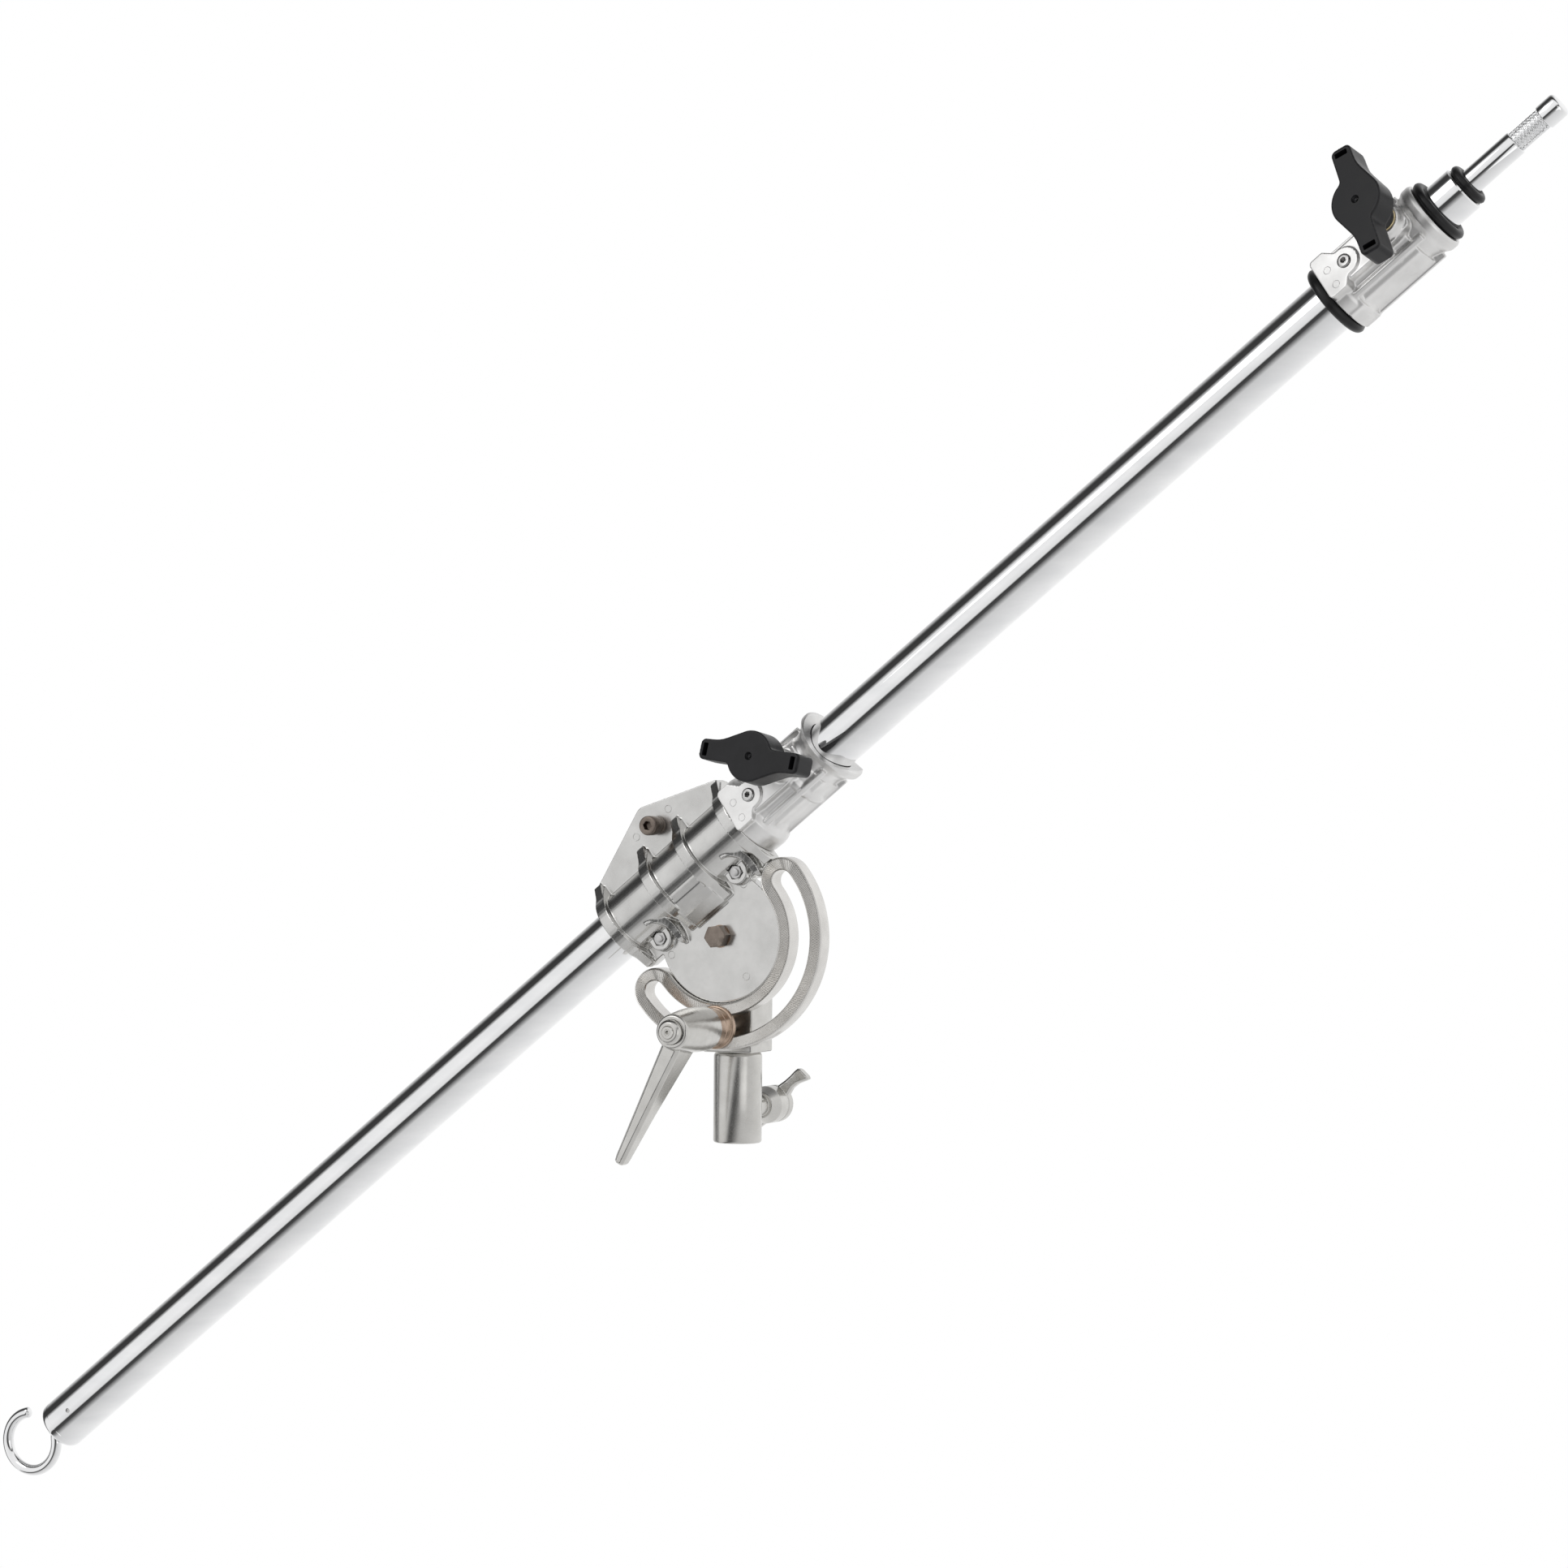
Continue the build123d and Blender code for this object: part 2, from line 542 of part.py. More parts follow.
# ---------------------------------------------------------------- T-knobs
def knob_shape(station, spin, wings):
    """Two-winged grip: a waisted hub with a wing each side, closed over the screw's end."""
    axis_plane = facing(station, spin)
    turn(axis_plane, ((0, KNOB_BASE), (8.6, KNOB_BASE), (9.4, 38), (12.5, 46), (KNOB_HUB_R, 52), (KNOB_HUB_R, 62.5),
                      (14, KNOB_TOP), (0, KNOB_TOP)))
    long_way = spun(axis_plane, wings)
    with BuildSketch(long_way.offset(KNOB_WING_LOW)) as plan:
        with BuildLine():
            for half in (1, -1):
                Spline(*[(half * x, half * y) for x, y in KNOB_STEEP])
                Polyline(*[(half * x, half * y) for x, y in (KNOB_STEEP[-1], (KNOB_HALF_SPAN, KNOB_WING_HALF),
                                                             (KNOB_HALF_SPAN, -KNOB_WING_HALF), KNOB_GENTLE[0])])
                Spline(*[(half * x, half * y) for x, y in KNOB_GENTLE])
        make_face()
    extrude(plan.sketch, amount=KNOB_TOP - 1 - KNOB_WING_LOW)
    post(axis_plane, KNOB_SCREW_R, 0, 56, mode=Mode.SUBTRACT)


def knob_set(name, station, spin, wings, pad_low, pad_tip_r):
    """One clamp: brake pad, threaded stem, brass washer and knob."""
    plane = facing(station, spin)
    with BuildPart() as pad:
        turn(plane, ((0, pad_low), (pad_tip_r, pad_low), (pad_tip_r, TUBE_R + 0.8), (PAD_R, TUBE_R + 0.8),
                     (PAD_R, PAD_TOP), (0, PAD_TOP)))
    save(pad, f"{name}_brake_pad")
    with BuildPart() as stem:
        turn(plane, ((0, PAD_TOP + 0.1), (KNOB_SCREW_R - 0.8, PAD_TOP + 0.1), (KNOB_SCREW_R, PAD_TOP + 1), (KNOB_SCREW_R, 56),
                     (0, 56)))
    save(stem, f"{name}_knob_screw")
    with BuildPart() as washer:
        sleeve(plane, KNOB_SCREW_R, 8.4, SCREW_BOSS_TOP + 0.2, SCREW_BOSS_TOP + 0.2 + WASHER_T)
    save(washer, f"{name}_knob_washer")
    with BuildPart() as knob:
        knob_shape(station, spin, wings)
    save(knob, f"{name}_knob")


knob_set("lower", LOWER_SCREW, LOWER_SPIN, LOWER_WINGS, TUBE_R + TOUCH, PAD_R - 1)
knob_set("top", TOP_SCREW, TOP_SPIN, TOP_WINGS, INNER_R + TOUCH, PAD_R - 1)

# ---------------------------------------------------------------- clamp lever
with BuildPart() as clamp_bush:
    turn(STUD, ((STUD_R + RUN, 0.2), (BUSH_FLANGE_R, 0.2), (BUSH_FLANGE_R, 3.8), (BUSH_R, 4.6), (BUSH_R, BUSH_LEN - 0.2),
                (STUD_R + RUN, BUSH_LEN - 0.2)))
save(clamp_bush, "clamp_bush")

with BuildPart() as lever_core:
    turn(STUD, ((STUD_R + RUN, BUSH_LEN), (CORE_R, BUSH_LEN), (CORE_R, CORE_END - 0.5), (CORE_R - 0.5, CORE_END),
                (3, CORE_END), (3, STUD_END + 1), (STUD_R + RUN, STUD_END + 1)))
save(lever_core, "lever_core")

with BuildPart() as lever_cap:
    turn(STUD, ((0, STUD_END + 1.2), (3, STUD_END + 1.2), (3, CAP_LOW), (CAP_R, CAP_LOW), (CAP_R, CAP_END - 2.4),
                (CAP_R - 1.6, CAP_END - 1), (4.4, CAP_END - 1), (4.0, CAP_END), (0, CAP_END)))
    hexagon(STUD, 2.6, CAP_END - 2.5, CAP_END, mode=Mode.SUBTRACT)
save(lever_cap, "lever_cap")

with BuildPart() as lever_spring:
    coil_turns = 3.5
    pitch = (CAP_LOW - WEB_HIGH - 1.6) / coil_turns
    coil_base = STUD.offset(WEB_HIGH + 0.8)
    coil = Helix(pitch=pitch, height=pitch * coil_turns, radius=5.4, center=coil_base.origin,
                 direction=coil_base.z_dir)
    with BuildSketch(Plane(origin=coil @ 0, z_dir=coil % 0)):
        Circle(0.6)
    sweep(path=coil)
save(lever_spring, "lever_spring")

with BuildPart() as clamp_lever:
    turn(STUD, ((0, BUSH_LEN + 0.2), (HUB_R - 0.6, BUSH_LEN + 0.2), (HUB_R, BUSH_LEN + 1), (HUB_R - 0.1, 34), (13.4, 50),
                (HUB_TIP_R + 0.5, HUB_END - 1), (HUB_TIP_R - 0.5, HUB_END), (0, HUB_END)))
    lean = radians(LEVER_LEAN)
    lever_dir = Vector(-sin(lean), 0, -cos(lean))
    for distance, width, low, high in ((7, 13.0, 32.0, 57.0), (LEVER_REACH, 6.6, 46.5, 58.0)):
        centre = STUD.origin + lever_dir * distance + STUD.z_dir * (low + high) / 2
        with BuildSketch(Plane(origin=centre, x_dir=STUD.z_dir, z_dir=lever_dir)):
            RectangleRounded(high - low, width, radius=width * 0.28)
    loft()
    post(STUD, CORE_R + RUN, 0, WEB_LOW, mode=Mode.SUBTRACT)
    post(STUD, 3.4, WEB_LOW - 1, WEB_HIGH + 1, mode=Mode.SUBTRACT)
    post(STUD, CAP_R + 0.3, WEB_HIGH, HUB_END + 1, mode=Mode.SUBTRACT)
save(clamp_lever, "clamp_lever")

# ---------------------------------------------------------------- wing screw
with BuildPart() as wing_tip:
    post(WING, 4.2, WING_TIP, WING_TIP + 2.4)
save(wing_tip, "wing_tip")

with BuildPart() as wing_screw:
    turn(WING, ((0, WING_TIP + 2.5), (STUD_R, WING_TIP + 2.5), (STUD_R, WING_NECK), (6.6, WING_NECK), (6.6, 34), (8.8, 34),
                (WING_DRUM_R, WING_DRUM), (WING_DRUM_R, WING_BACK - 1.2), (11.8, WING_BACK - 0.6),
                (WING_DRUM_R, WING_BACK), (WING_DRUM_R, 59), (10, WING_END), (0, WING_END)))
    for half_turn in (0, 180):
        blade = spun(WING, half_turn - WING_SLOPE)
        with BuildSketch(blade.offset(WING_BACK - 3)) as wing_plan:
            with BuildLine():
                Polyline((6, -7), (17, -3.5), (WING_REACH - 1, -5), (WING_REACH, 2), (WING_REACH - 3, 6),
                         (17, 3.2), (6, 7), close=True)
            make_face()
        extrude(wing_plan.sketch, amount=8)
save(wing_screw, "wing_screw")
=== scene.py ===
import json
from math import ceil, cos, degrees, pi, radians, sin, tan

import bmesh
import bpy
from mathutils import Matrix, Vector


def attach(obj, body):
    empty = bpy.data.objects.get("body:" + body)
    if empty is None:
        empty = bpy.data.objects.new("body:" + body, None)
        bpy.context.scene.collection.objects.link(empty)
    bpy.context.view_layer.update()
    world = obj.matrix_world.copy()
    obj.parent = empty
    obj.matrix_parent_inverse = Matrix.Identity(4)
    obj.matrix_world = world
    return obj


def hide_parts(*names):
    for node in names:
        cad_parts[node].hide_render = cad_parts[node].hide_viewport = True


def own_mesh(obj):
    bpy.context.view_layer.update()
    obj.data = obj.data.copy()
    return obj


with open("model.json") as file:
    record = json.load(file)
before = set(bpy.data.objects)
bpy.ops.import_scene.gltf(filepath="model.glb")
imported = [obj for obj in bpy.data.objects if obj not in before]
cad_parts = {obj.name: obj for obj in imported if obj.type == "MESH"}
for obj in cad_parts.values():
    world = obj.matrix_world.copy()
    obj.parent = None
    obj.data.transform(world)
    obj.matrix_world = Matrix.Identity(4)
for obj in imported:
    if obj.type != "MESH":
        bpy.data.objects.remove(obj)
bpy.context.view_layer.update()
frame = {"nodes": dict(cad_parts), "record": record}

# ======== driving dimensions (mm)
MM = 0.001
TILT = radians(39)              # boom above the horizontal
PIVOT = Vector((0, -24.5, 137))
TUBE_OFFSET = 48                # pivot to the boom's axis
TUBE_R = 17.5
INNER_R = 15.0
WALL = 1.5
PIN_R = 8.0
PLUG_START = -631
PLUG_SEAM = -624
RIVET_STATION = -606.5
TUBE_END = 652
BARREL_START = -54
BARREL_END = 62
LOWER_LENGTH = 80.6             # clamp collar at the head
COLLAR_START = 580.5
COLLAR_END = 657
TOP_LENGTH = COLLAR_END - COLLAR_START  # clamp collar at the tube's end
EAR_SCREW = 20                  # set screw, from its collar's start
EAR_TOP = 25.4                  # flat of a collar's ear, above the boom's axis
INNER_END = 681
PIN_SHOULDER = 722.5
PIN_CAP = 744
PIN_END = 757.5
RIB_STATIONS = (-51, -10.5, 21.5, 59)
BOSS_POINTS = ((-33.5, 24), (37.5, 24))
FLANGE_SCREW = (8, 86)
SLOT_R = 59.3                   # middle of the sector's slot
STUD_Z = PIVOT.z - SLOT_R
WING_Z = 22
LOWER_SCREW, LOWER_SPIN, LOWER_WINGS = 112, radians(12), radians(-47)
TOP_SCREW, TOP_SPIN, TOP_WINGS = 635.5, radians(20.5), radians(-104)
PLATE_BACK, DISC_TOP = -7.5, 3.5        # head plate, from the tilt plane
DISC_R = 43.5
LINER_R, BARREL_R, RIB_R, RIB_T = 19.0, 22.5, 26.5, 6.0

X, Y, Z = Vector((1, 0, 0)), Vector((0, 1, 0)), Vector((0, 0, 1))
BOOM = Vector((cos(TILT), 0, sin(TILT)))
UPWARD = Vector((-sin(TILT), 0, cos(TILT)))
FRONT = -Y


# ======== frames
def placed(origin, x_axis, z_axis):
    """Matrix that takes a local frame to its parent's, both in millimetres."""
    matrix = Matrix((x_axis, z_axis.cross(x_axis), z_axis)).transposed().to_4x4()
    matrix.translation = Vector(origin)
    return matrix


ROOT = Matrix()
HEAD = placed(PIVOT, BOOM, FRONT)           # x up the boom, y away from the pivot, z forward
STUD = placed((0, PIVOT.y - 7.5, STUD_Z), X, FRONT)
WING = placed((0, 0, WING_Z), X, Y)


def across(station, spin=0.0):
    """Frame in the head, square to the boom, its x forward and its z up the boom."""
    return placed((station, TUBE_OFFSET, 0), Vector((0, sin(spin), cos(spin))), X)


def facing(station, spin):
    """Frame in the head that faces along a clamp screw, its x up the boom."""
    return placed((station, TUBE_OFFSET, 0), X, Vector((0, sin(spin), cos(spin))))


def on_head(point, level=0.0):
    return Matrix.Translation((point[0], point[1], level))


def spun(angle):
    return Matrix.Rotation(angle, 4, "Z")


# ======== outlines
def rounded(corners):
    """Outline through corners (x, y, radius), each corner cut by an arc of its radius."""
    step = radians(10)
    points = []
    for k, (x, y, radius) in enumerate(corners):
        here = Vector((x, y))
        back = (Vector(corners[k - 1][:2]) - here).normalized()
        ahead = (Vector(corners[(k + 1) % len(corners)][:2]) - here).normalized()
        turn = pi - back.angle(ahead)
        if radius == 0 or turn < 0.01:
            points.append(here)
            continue
        reach = radius * tan(turn / 2)
        centre = here + (back + ahead).normalized() * radius / cos(turn / 2)
        start = here + back * reach - centre
        side = 1 if back.x * ahead.y - back.y * ahead.x < 0 else -1
        count = max(2, ceil(turn / step))
        for n in range(count + 1):
            points.append(centre + Matrix.Rotation(side * turn * n / count, 2) @ start)
    return points


def arc(centre, radius, start, sweep, count):
    """Points on an arc, angles in degrees."""
    angles = [radians(start + sweep * n / count) for n in range(count + 1)]
    return [Vector((centre[0] + radius * cos(a), centre[1] + radius * sin(a))) for a in angles]


def polygon(sides, across_flats, turn=0.0):
    radius = across_flats / 2 / cos(pi / sides)
    angles = [turn + 2 * pi * k / sides for k in range(sides)]
    return [Vector((radius * cos(a), radius * sin(a))) for a in angles]


def box_outline(x, y, width, depth, radius):
    return rounded([(x - width / 2, y - depth / 2, radius), (x + width / 2, y - depth / 2, radius),
                    (x + width / 2, y + depth / 2, radius), (x - width / 2, y + depth / 2, radius)])


# ======== solids, added to a bmesh
def skin(bm, rings, ring_closed=False):
    """Join rings of vertices, point for point, and cap both ends unless the rings close on themselves."""
    pairs = list(zip(rings, rings[1:] + rings[:1] if ring_closed else rings[1:]))
    count = max(len(ring) for ring in rings)
    for one, two in pairs:
        if len(one) == 1 and len(two) == 1:
            continue
        for k in range(count):
            j = (k + 1) % count
            corners = [one[k % len(one)], one[j % len(one)], two[j % len(two)], two[k % len(two)]]
            bm.faces.new(list(dict.fromkeys(corners)))
    if not ring_closed:
        for ring in (rings[0], rings[-1]):
            if len(ring) > 2:
                bm.faces.new(ring)


def lathe(bm, at, outline, steps=96):
    """Turn a closed outline of (radius, height) about the frame's z."""
    rings = []
    for radius, height in outline:
        if radius < 1e-6:
            rings.append([bm.verts.new(at @ Vector((0, 0, height)))])
            continue
        angles = [2 * pi * k / steps for k in range(steps)]
        rings.append([bm.verts.new(at @ Vector((radius * cos(a), radius * sin(a), height))) for a in angles])
    skin(bm, rings, ring_closed=True)


def prism(bm, at, outline, low, high):
    """Straight block over an outline."""
    rings = [[bm.verts.new(at @ Vector((p[0], p[1], h))) for p in outline] for h in (low, high)]
    skin(bm, rings)


def loft(bm, at, sections):
    """Skin over sections of equal count, each a list of (x, y, z)."""
    skin(bm, [[bm.verts.new(at @ Vector(p)) for p in section] for section in sections])


def rod(bm, at, path, radius, steps=32):
    """Round rod along a path in the frame's xy plane, with rounded ends."""
    stations = []
    for k, point in enumerate(path):
        before, after = path[max(k - 1, 0)], path[min(k + 1, len(path) - 1)]
        stations.append((Vector(point), (Vector(after) - Vector(before)).normalized(), radius))
    first, last = stations[0], stations[-1]
    for degree in (25, 50, 70, 84):
        bulge, thin = 0.45 * radius * sin(radians(degree)), radius * cos(radians(degree))
        stations.insert(0, (first[0] - first[1] * bulge, first[1], thin))
        stations.append((last[0] + last[1] * bulge, last[1], thin))
    rings = []
    for centre, ahead, thick in stations:
        side = Vector((-ahead.y, ahead.x))
        ring = []
        for k in range(steps):
            a = 2 * pi * k / steps
            flat = centre + side * thick * cos(a)
            ring.append(bm.verts.new(at @ Vector((flat.x, flat.y, thick * sin(a)))))
        rings.append(ring)
    skin(bm, rings)


def torus(bm, at, major, minor):
    outline = [(major + minor * cos(a), minor * sin(a)) for a in (2 * pi * k / 28 for k in range(28))]
    lathe(bm, at, outline, steps=128)


def turning(at, outline, steps=96):
    """Maker of a turned solid, to add to a bmesh later."""
    return lambda bm: lathe(bm, at, outline, steps)


def cylinder(at, radius, low, high, steps=48):
    return turning(at, [(0, low), (radius, low), (radius, high), (0, high)], steps)


def block(at, outline, low, high):
    """Maker of a straight block over an outline."""
    return lambda bm: prism(bm, at, outline, low, high)


# ======== pieces
def new_object(name, bm):
    bmesh.ops.recalc_face_normals(bm, faces=bm.faces)
    mesh = bpy.data.meshes.new(name)
    bm.to_mesh(mesh)
    bm.free()
    piece = bpy.data.objects.new(name, mesh)
    bpy.context.scene.collection.objects.link(piece)
    return piece


def solid(name, *makers):
    """Object in local millimetres from functions that each add to one bmesh."""
    bm = bmesh.new()
    for make in makers:
        make(bm)
    return new_object(name, bm)


def apply_modifiers(piece):
    graph = bpy.context.evaluated_depsgraph_get()
    graph.update()
    mesh = bpy.data.meshes.new_from_object(piece.evaluated_get(graph))
    piece.modifiers.clear()
    old = piece.data
    piece.data = mesh
    bpy.data.meshes.remove(old)


def melt(piece, voxel, rounds):
    """Fuse overlapping solids into one skin and round its edges as casting does."""
    remesh = piece.modifiers.new("fuse", "REMESH")
    remesh.mode = "VOXEL"
    remesh.voxel_size = voxel
    soften = piece.modifiers.new("soften", "SMOOTH")
    soften.factor = 0.5
    soften.iterations = rounds
    apply_modifiers(piece)


def thin_out(piece, share):
    """Keep a share of a dense mesh's triangles."""
    modifier = piece.modifiers.new("thin", "DECIMATE")
    modifier.ratio = share
    apply_modifiers(piece)


def combine(piece, operation, *makers):
    """Boolean between a piece and the solids that the makers add."""
    other = solid("tool", *makers)
    modifier = piece.modifiers.new("boolean", "BOOLEAN")
    modifier.operation = operation
    modifier.solver = "EXACT"
    modifier.object = other
    apply_modifiers(piece)
    bpy.data.objects.remove(other)


def cut(piece, *makers):
    """Take solids away from a piece, one after another."""
    for make in makers:
        combine(piece, "DIFFERENCE", make)


def soften_edges(piece, width, segments, angle):
    bevel = piece.modifiers.new("bevel", "BEVEL")
    bevel.width = width
    bevel.segments = segments
    bevel.limit_method = "ANGLE"
    bevel.angle_limit = radians(angle)
    bevel.use_clamp_overlap = True
    apply_modifiers(piece)


def finish_piece(piece, base, body, slot, replaces=(), sharp=35, material=None):
    """Bring a piece into the row frame in metres, shade it and tie it to its body."""
    piece.data.transform(Matrix.Scale(MM, 4) @ base)
    piece.data.shade_smooth()
    piece.data.set_sharp_from_angle(angle=radians(sharp))
    piece.data.materials.clear()
    piece.data.materials.append(material or FINISHES[slot])
    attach(piece, body)
    if replaces:
        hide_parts(*replaces)


# ======== materials
def node_material(name):
    """Empty node material with its shader and helpers to wire it."""
    material = bpy.data.materials.new(name)
    material.use_nodes = True
    tree = material.node_tree
    shader = tree.nodes["Principled BSDF"]
    return material, tree, shader


def link(tree, source, target):
    tree.links.new(source, target)


def place_texture(tree, kind, scale, detail, stretch=(1, 1, 1), turn=0.0):
    """Noise or Voronoi texture in object space, in cycles per metre, that can be stretched along the boom."""
    spot = tree.nodes.new("ShaderNodeTexCoord")
    mapping = tree.nodes.new("ShaderNodeMapping")
    mapping.inputs["Rotation"].default_value = (0, turn, 0)
    mapping.inputs["Scale"].default_value = stretch
    link(tree, spot.outputs["Object"], mapping.inputs["Vector"])
    texture = tree.nodes.new(kind)
    texture.inputs["Scale"].default_value = scale
    if "Detail" in texture.inputs:
        texture.inputs["Detail"].default_value = detail
    if "Roughness" in texture.inputs:
        texture.inputs["Roughness"].default_value = 0.55
    link(tree, mapping.outputs["Vector"], texture.inputs["Vector"])
    return texture


def spread(tree, source, low, high, from_low=0.3, from_high=0.7):
    """Map a texture's grey onto a range of values."""
    node = tree.nodes.new("ShaderNodeMapRange")
    node.inputs["From Min"].default_value = from_low
    node.inputs["From Max"].default_value = from_high
    node.inputs["To Min"].default_value = low
    node.inputs["To Max"].default_value = high
    link(tree, source, node.inputs["Value"])
    return node.outputs["Result"]


def tint(tree, source, dark, light):
    """Colour between two tones, by a texture."""
    ramp = tree.nodes.new("ShaderNodeValToRGB")
    for element, position, colour in zip(ramp.color_ramp.elements, (0.3, 0.7), (dark, light)):
        element.position = position
        element.color = (*colour, 1)
    link(tree, source, ramp.inputs["Fac"])
    return ramp.outputs["Color"]


def bump(tree, shader, heights):
    """Chain bumps from (source, depth in millimetres) pairs."""
    normal = None
    for source, depth in heights:
        node = tree.nodes.new("ShaderNodeBump")
        node.inputs["Strength"].default_value = 1.0
        node.inputs["Distance"].default_value = depth * MM
        link(tree, source, node.inputs["Height"])
        if normal:
            link(tree, normal, node.inputs["Normal"])
        normal = node.outputs["Normal"]
    link(tree, normal, shader.inputs["Normal"])


def chrome(name, dark, light, rough, wave):
    """Mirror plating: faint smears in the gloss, a slow waviness and drawn lines along the boom."""
    material, tree, shader = node_material(name)
    shader.inputs["Metallic"].default_value = 1.0
    smear = place_texture(tree, "ShaderNodeTexNoise", 14, 5, (1, 3, 6), -TILT)
    drawn = place_texture(tree, "ShaderNodeTexNoise", 220, 2, (0.03, 4, 4), -TILT)
    link(tree, tint(tree, smear.outputs["Fac"], dark, light), shader.inputs["Base Color"])
    link(tree, spread(tree, smear.outputs["Fac"], rough * 0.6, rough * 1.6), shader.inputs["Roughness"])
    bump(tree, shader, [(smear.outputs["Fac"], wave), (drawn.outputs["Fac"], 0.0012)])
    return material


def cast_metal(name, dark, light, rough_low, rough_high, grain, pits):
    """Tumbled casting: soft blotches, fine grain and scattered pits."""
    material, tree, shader = node_material(name)
    shader.inputs["Metallic"].default_value = 1.0
    blotch = place_texture(tree, "ShaderNodeTexNoise", 55, 6)
    fine = place_texture(tree, "ShaderNodeTexNoise", 900, 4)
    pit = place_texture(tree, "ShaderNodeTexVoronoi", 420, 2)
    link(tree, tint(tree, blotch.outputs["Fac"], dark, light), shader.inputs["Base Color"])
    link(tree, spread(tree, blotch.outputs["Fac"], rough_high, rough_low), shader.inputs["Roughness"])
    hollow = spread(tree, pit.outputs["Distance"], 0.0, 1.0, 0.02, 0.2)
    bump(tree, shader, [(blotch.outputs["Fac"], grain * 4), (fine.outputs["Fac"], grain), (hollow, pits)])
    return material


def plated(name, dark, light, rough_low, rough_high, grain):
    """Satin plating over a blasted surface."""
    material, tree, shader = node_material(name)
    shader.inputs["Metallic"].default_value = 1.0
    cloud = place_texture(tree, "ShaderNodeTexNoise", 90, 5)
    fine = place_texture(tree, "ShaderNodeTexNoise", 1500, 3)
    link(tree, tint(tree, cloud.outputs["Fac"], dark, light), shader.inputs["Base Color"])
    link(tree, spread(tree, fine.outputs["Fac"], rough_low, rough_high), shader.inputs["Roughness"])
    bump(tree, shader, [(fine.outputs["Fac"], grain)])
    return material


def moulded(name, dark, light, rough_low, rough_high, grain, scale):
    """Moulded plastic or rubber: fine texture, faint dust and uneven gloss."""
    material, tree, shader = node_material(name)
    shader.inputs["Specular IOR Level"].default_value = 0.30
    cloud = place_texture(tree, "ShaderNodeTexNoise", 120, 6)
    fine = place_texture(tree, "ShaderNodeTexNoise", scale, 3)
    link(tree, tint(tree, cloud.outputs["Fac"], dark, light), shader.inputs["Base Color"])
    link(tree, spread(tree, cloud.outputs["Fac"], rough_low, rough_high), shader.inputs["Roughness"])
    bump(tree, shader, [(fine.outputs["Fac"], grain)])
    return material


FINISHES = {
    "chrome_tube": chrome("chrome", (0.84, 0.845, 0.85), (0.93, 0.93, 0.93), 0.035, 0.006),
    "cast_aluminium": cast_metal("cast_aluminium", (0.60, 0.595, 0.58), (0.69, 0.685, 0.67),
                                 0.18, 0.28, 0.004, 0.016),
    "nickel": plated("satin_nickel", (0.58, 0.57, 0.545), (0.67, 0.66, 0.635), 0.20, 0.28, 0.0018),
    "machined_sector": plated("machined_steel", (0.66, 0.645, 0.62), (0.76, 0.745, 0.72), 0.2, 0.30, 0.002),
    "bronzed_steel": plated("bronzed_steel", (0.17, 0.14, 0.12), (0.30, 0.255, 0.22), 0.25, 0.45, 0.01),
    "bronze": plated("sintered_bronze", (0.42, 0.31, 0.235), (0.60, 0.46, 0.36), 0.22, 0.4, 0.008),
    "brass": plated("turned_brass", (0.74, 0.60, 0.34), (0.86, 0.74, 0.48), 0.16, 0.28, 0.004),
    "zinc_steel": plated("zinc_plate", (0.46, 0.455, 0.45), (0.62, 0.615, 0.61), 0.2, 0.34, 0.006),
    "black_plastic": moulded("black_plastic", (0.009, 0.009, 0.010), (0.016, 0.016, 0.018),
                             0.30, 0.40, 0.006, 1600),
    "rubber": moulded("black_rubber", (0.008, 0.008, 0.009), (0.018, 0.018, 0.018), 0.26, 0.42, 0.01, 900),
    "nylon": moulded("pale_nylon", (0.62, 0.61, 0.57), (0.74, 0.73, 0.69), 0.4, 0.5, 0.01, 900),
}
COLLAR_CAST = cast_metal("collar_casting", (0.76, 0.755, 0.745), (0.86, 0.855, 0.845),
                         0.32, 0.43, 0.004, 0.014)


def dress_cad_nodes():
    """Every CAD node that stays takes the detailed material of its slot."""
    slots = {part["node"]: part["material_slot"] for part in frame["record"]["subparts"]}
    for name, node in frame["nodes"].items():
        node.data.materials.clear()
        node.data.materials.append(FINISHES[slots[name]])


dress_cad_nodes()


# ======== camera and light
SKY_BANDS = ((-180, 0.98), (-100, 0.80), (-64, 0.72), (-42, 0.66), (-30, 0.30), (-20, 0.07), (-8, 0.045),
             (-3, 0.80), (20, 0.92), (56, 0.88), (64, 0.35), (71, 0.05), (98, 0.04), (108, 0.10), (118, 0.34),
             (142, 0.72), (162, 0.95), (180, 0.98))      # degrees round the boom from forward, brightness


def place_camera():
    turn, rise, roll = radians(25.76), radians(0.27), radians(0.46)
    distance, aim_right, aim_up = 2.926, 0.0436, 0.0997
    aim = Vector((0, -0.032, 0.137))
    back = Vector((sin(turn) * cos(rise), -cos(turn) * cos(rise), sin(rise)))
    level = Vector((cos(turn), sin(turn), 0))
    high = back.cross(level)
    right = level * cos(roll) + high * sin(roll)
    up = high * cos(roll) - level * sin(roll)
    camera = bpy.data.objects.new("camera", bpy.data.cameras.new("camera"))
    camera.data.lens = 102.7
    camera.data.sensor_width = 36
    camera.data.clip_end = 60
    matrix = Matrix((right, up, back)).transposed().to_4x4()
    matrix.translation = aim + back * distance + right * aim_right + up * aim_up
    camera.matrix_world = matrix
    bpy.context.scene.collection.objects.link(camera)
    bpy.context.scene.camera = camera


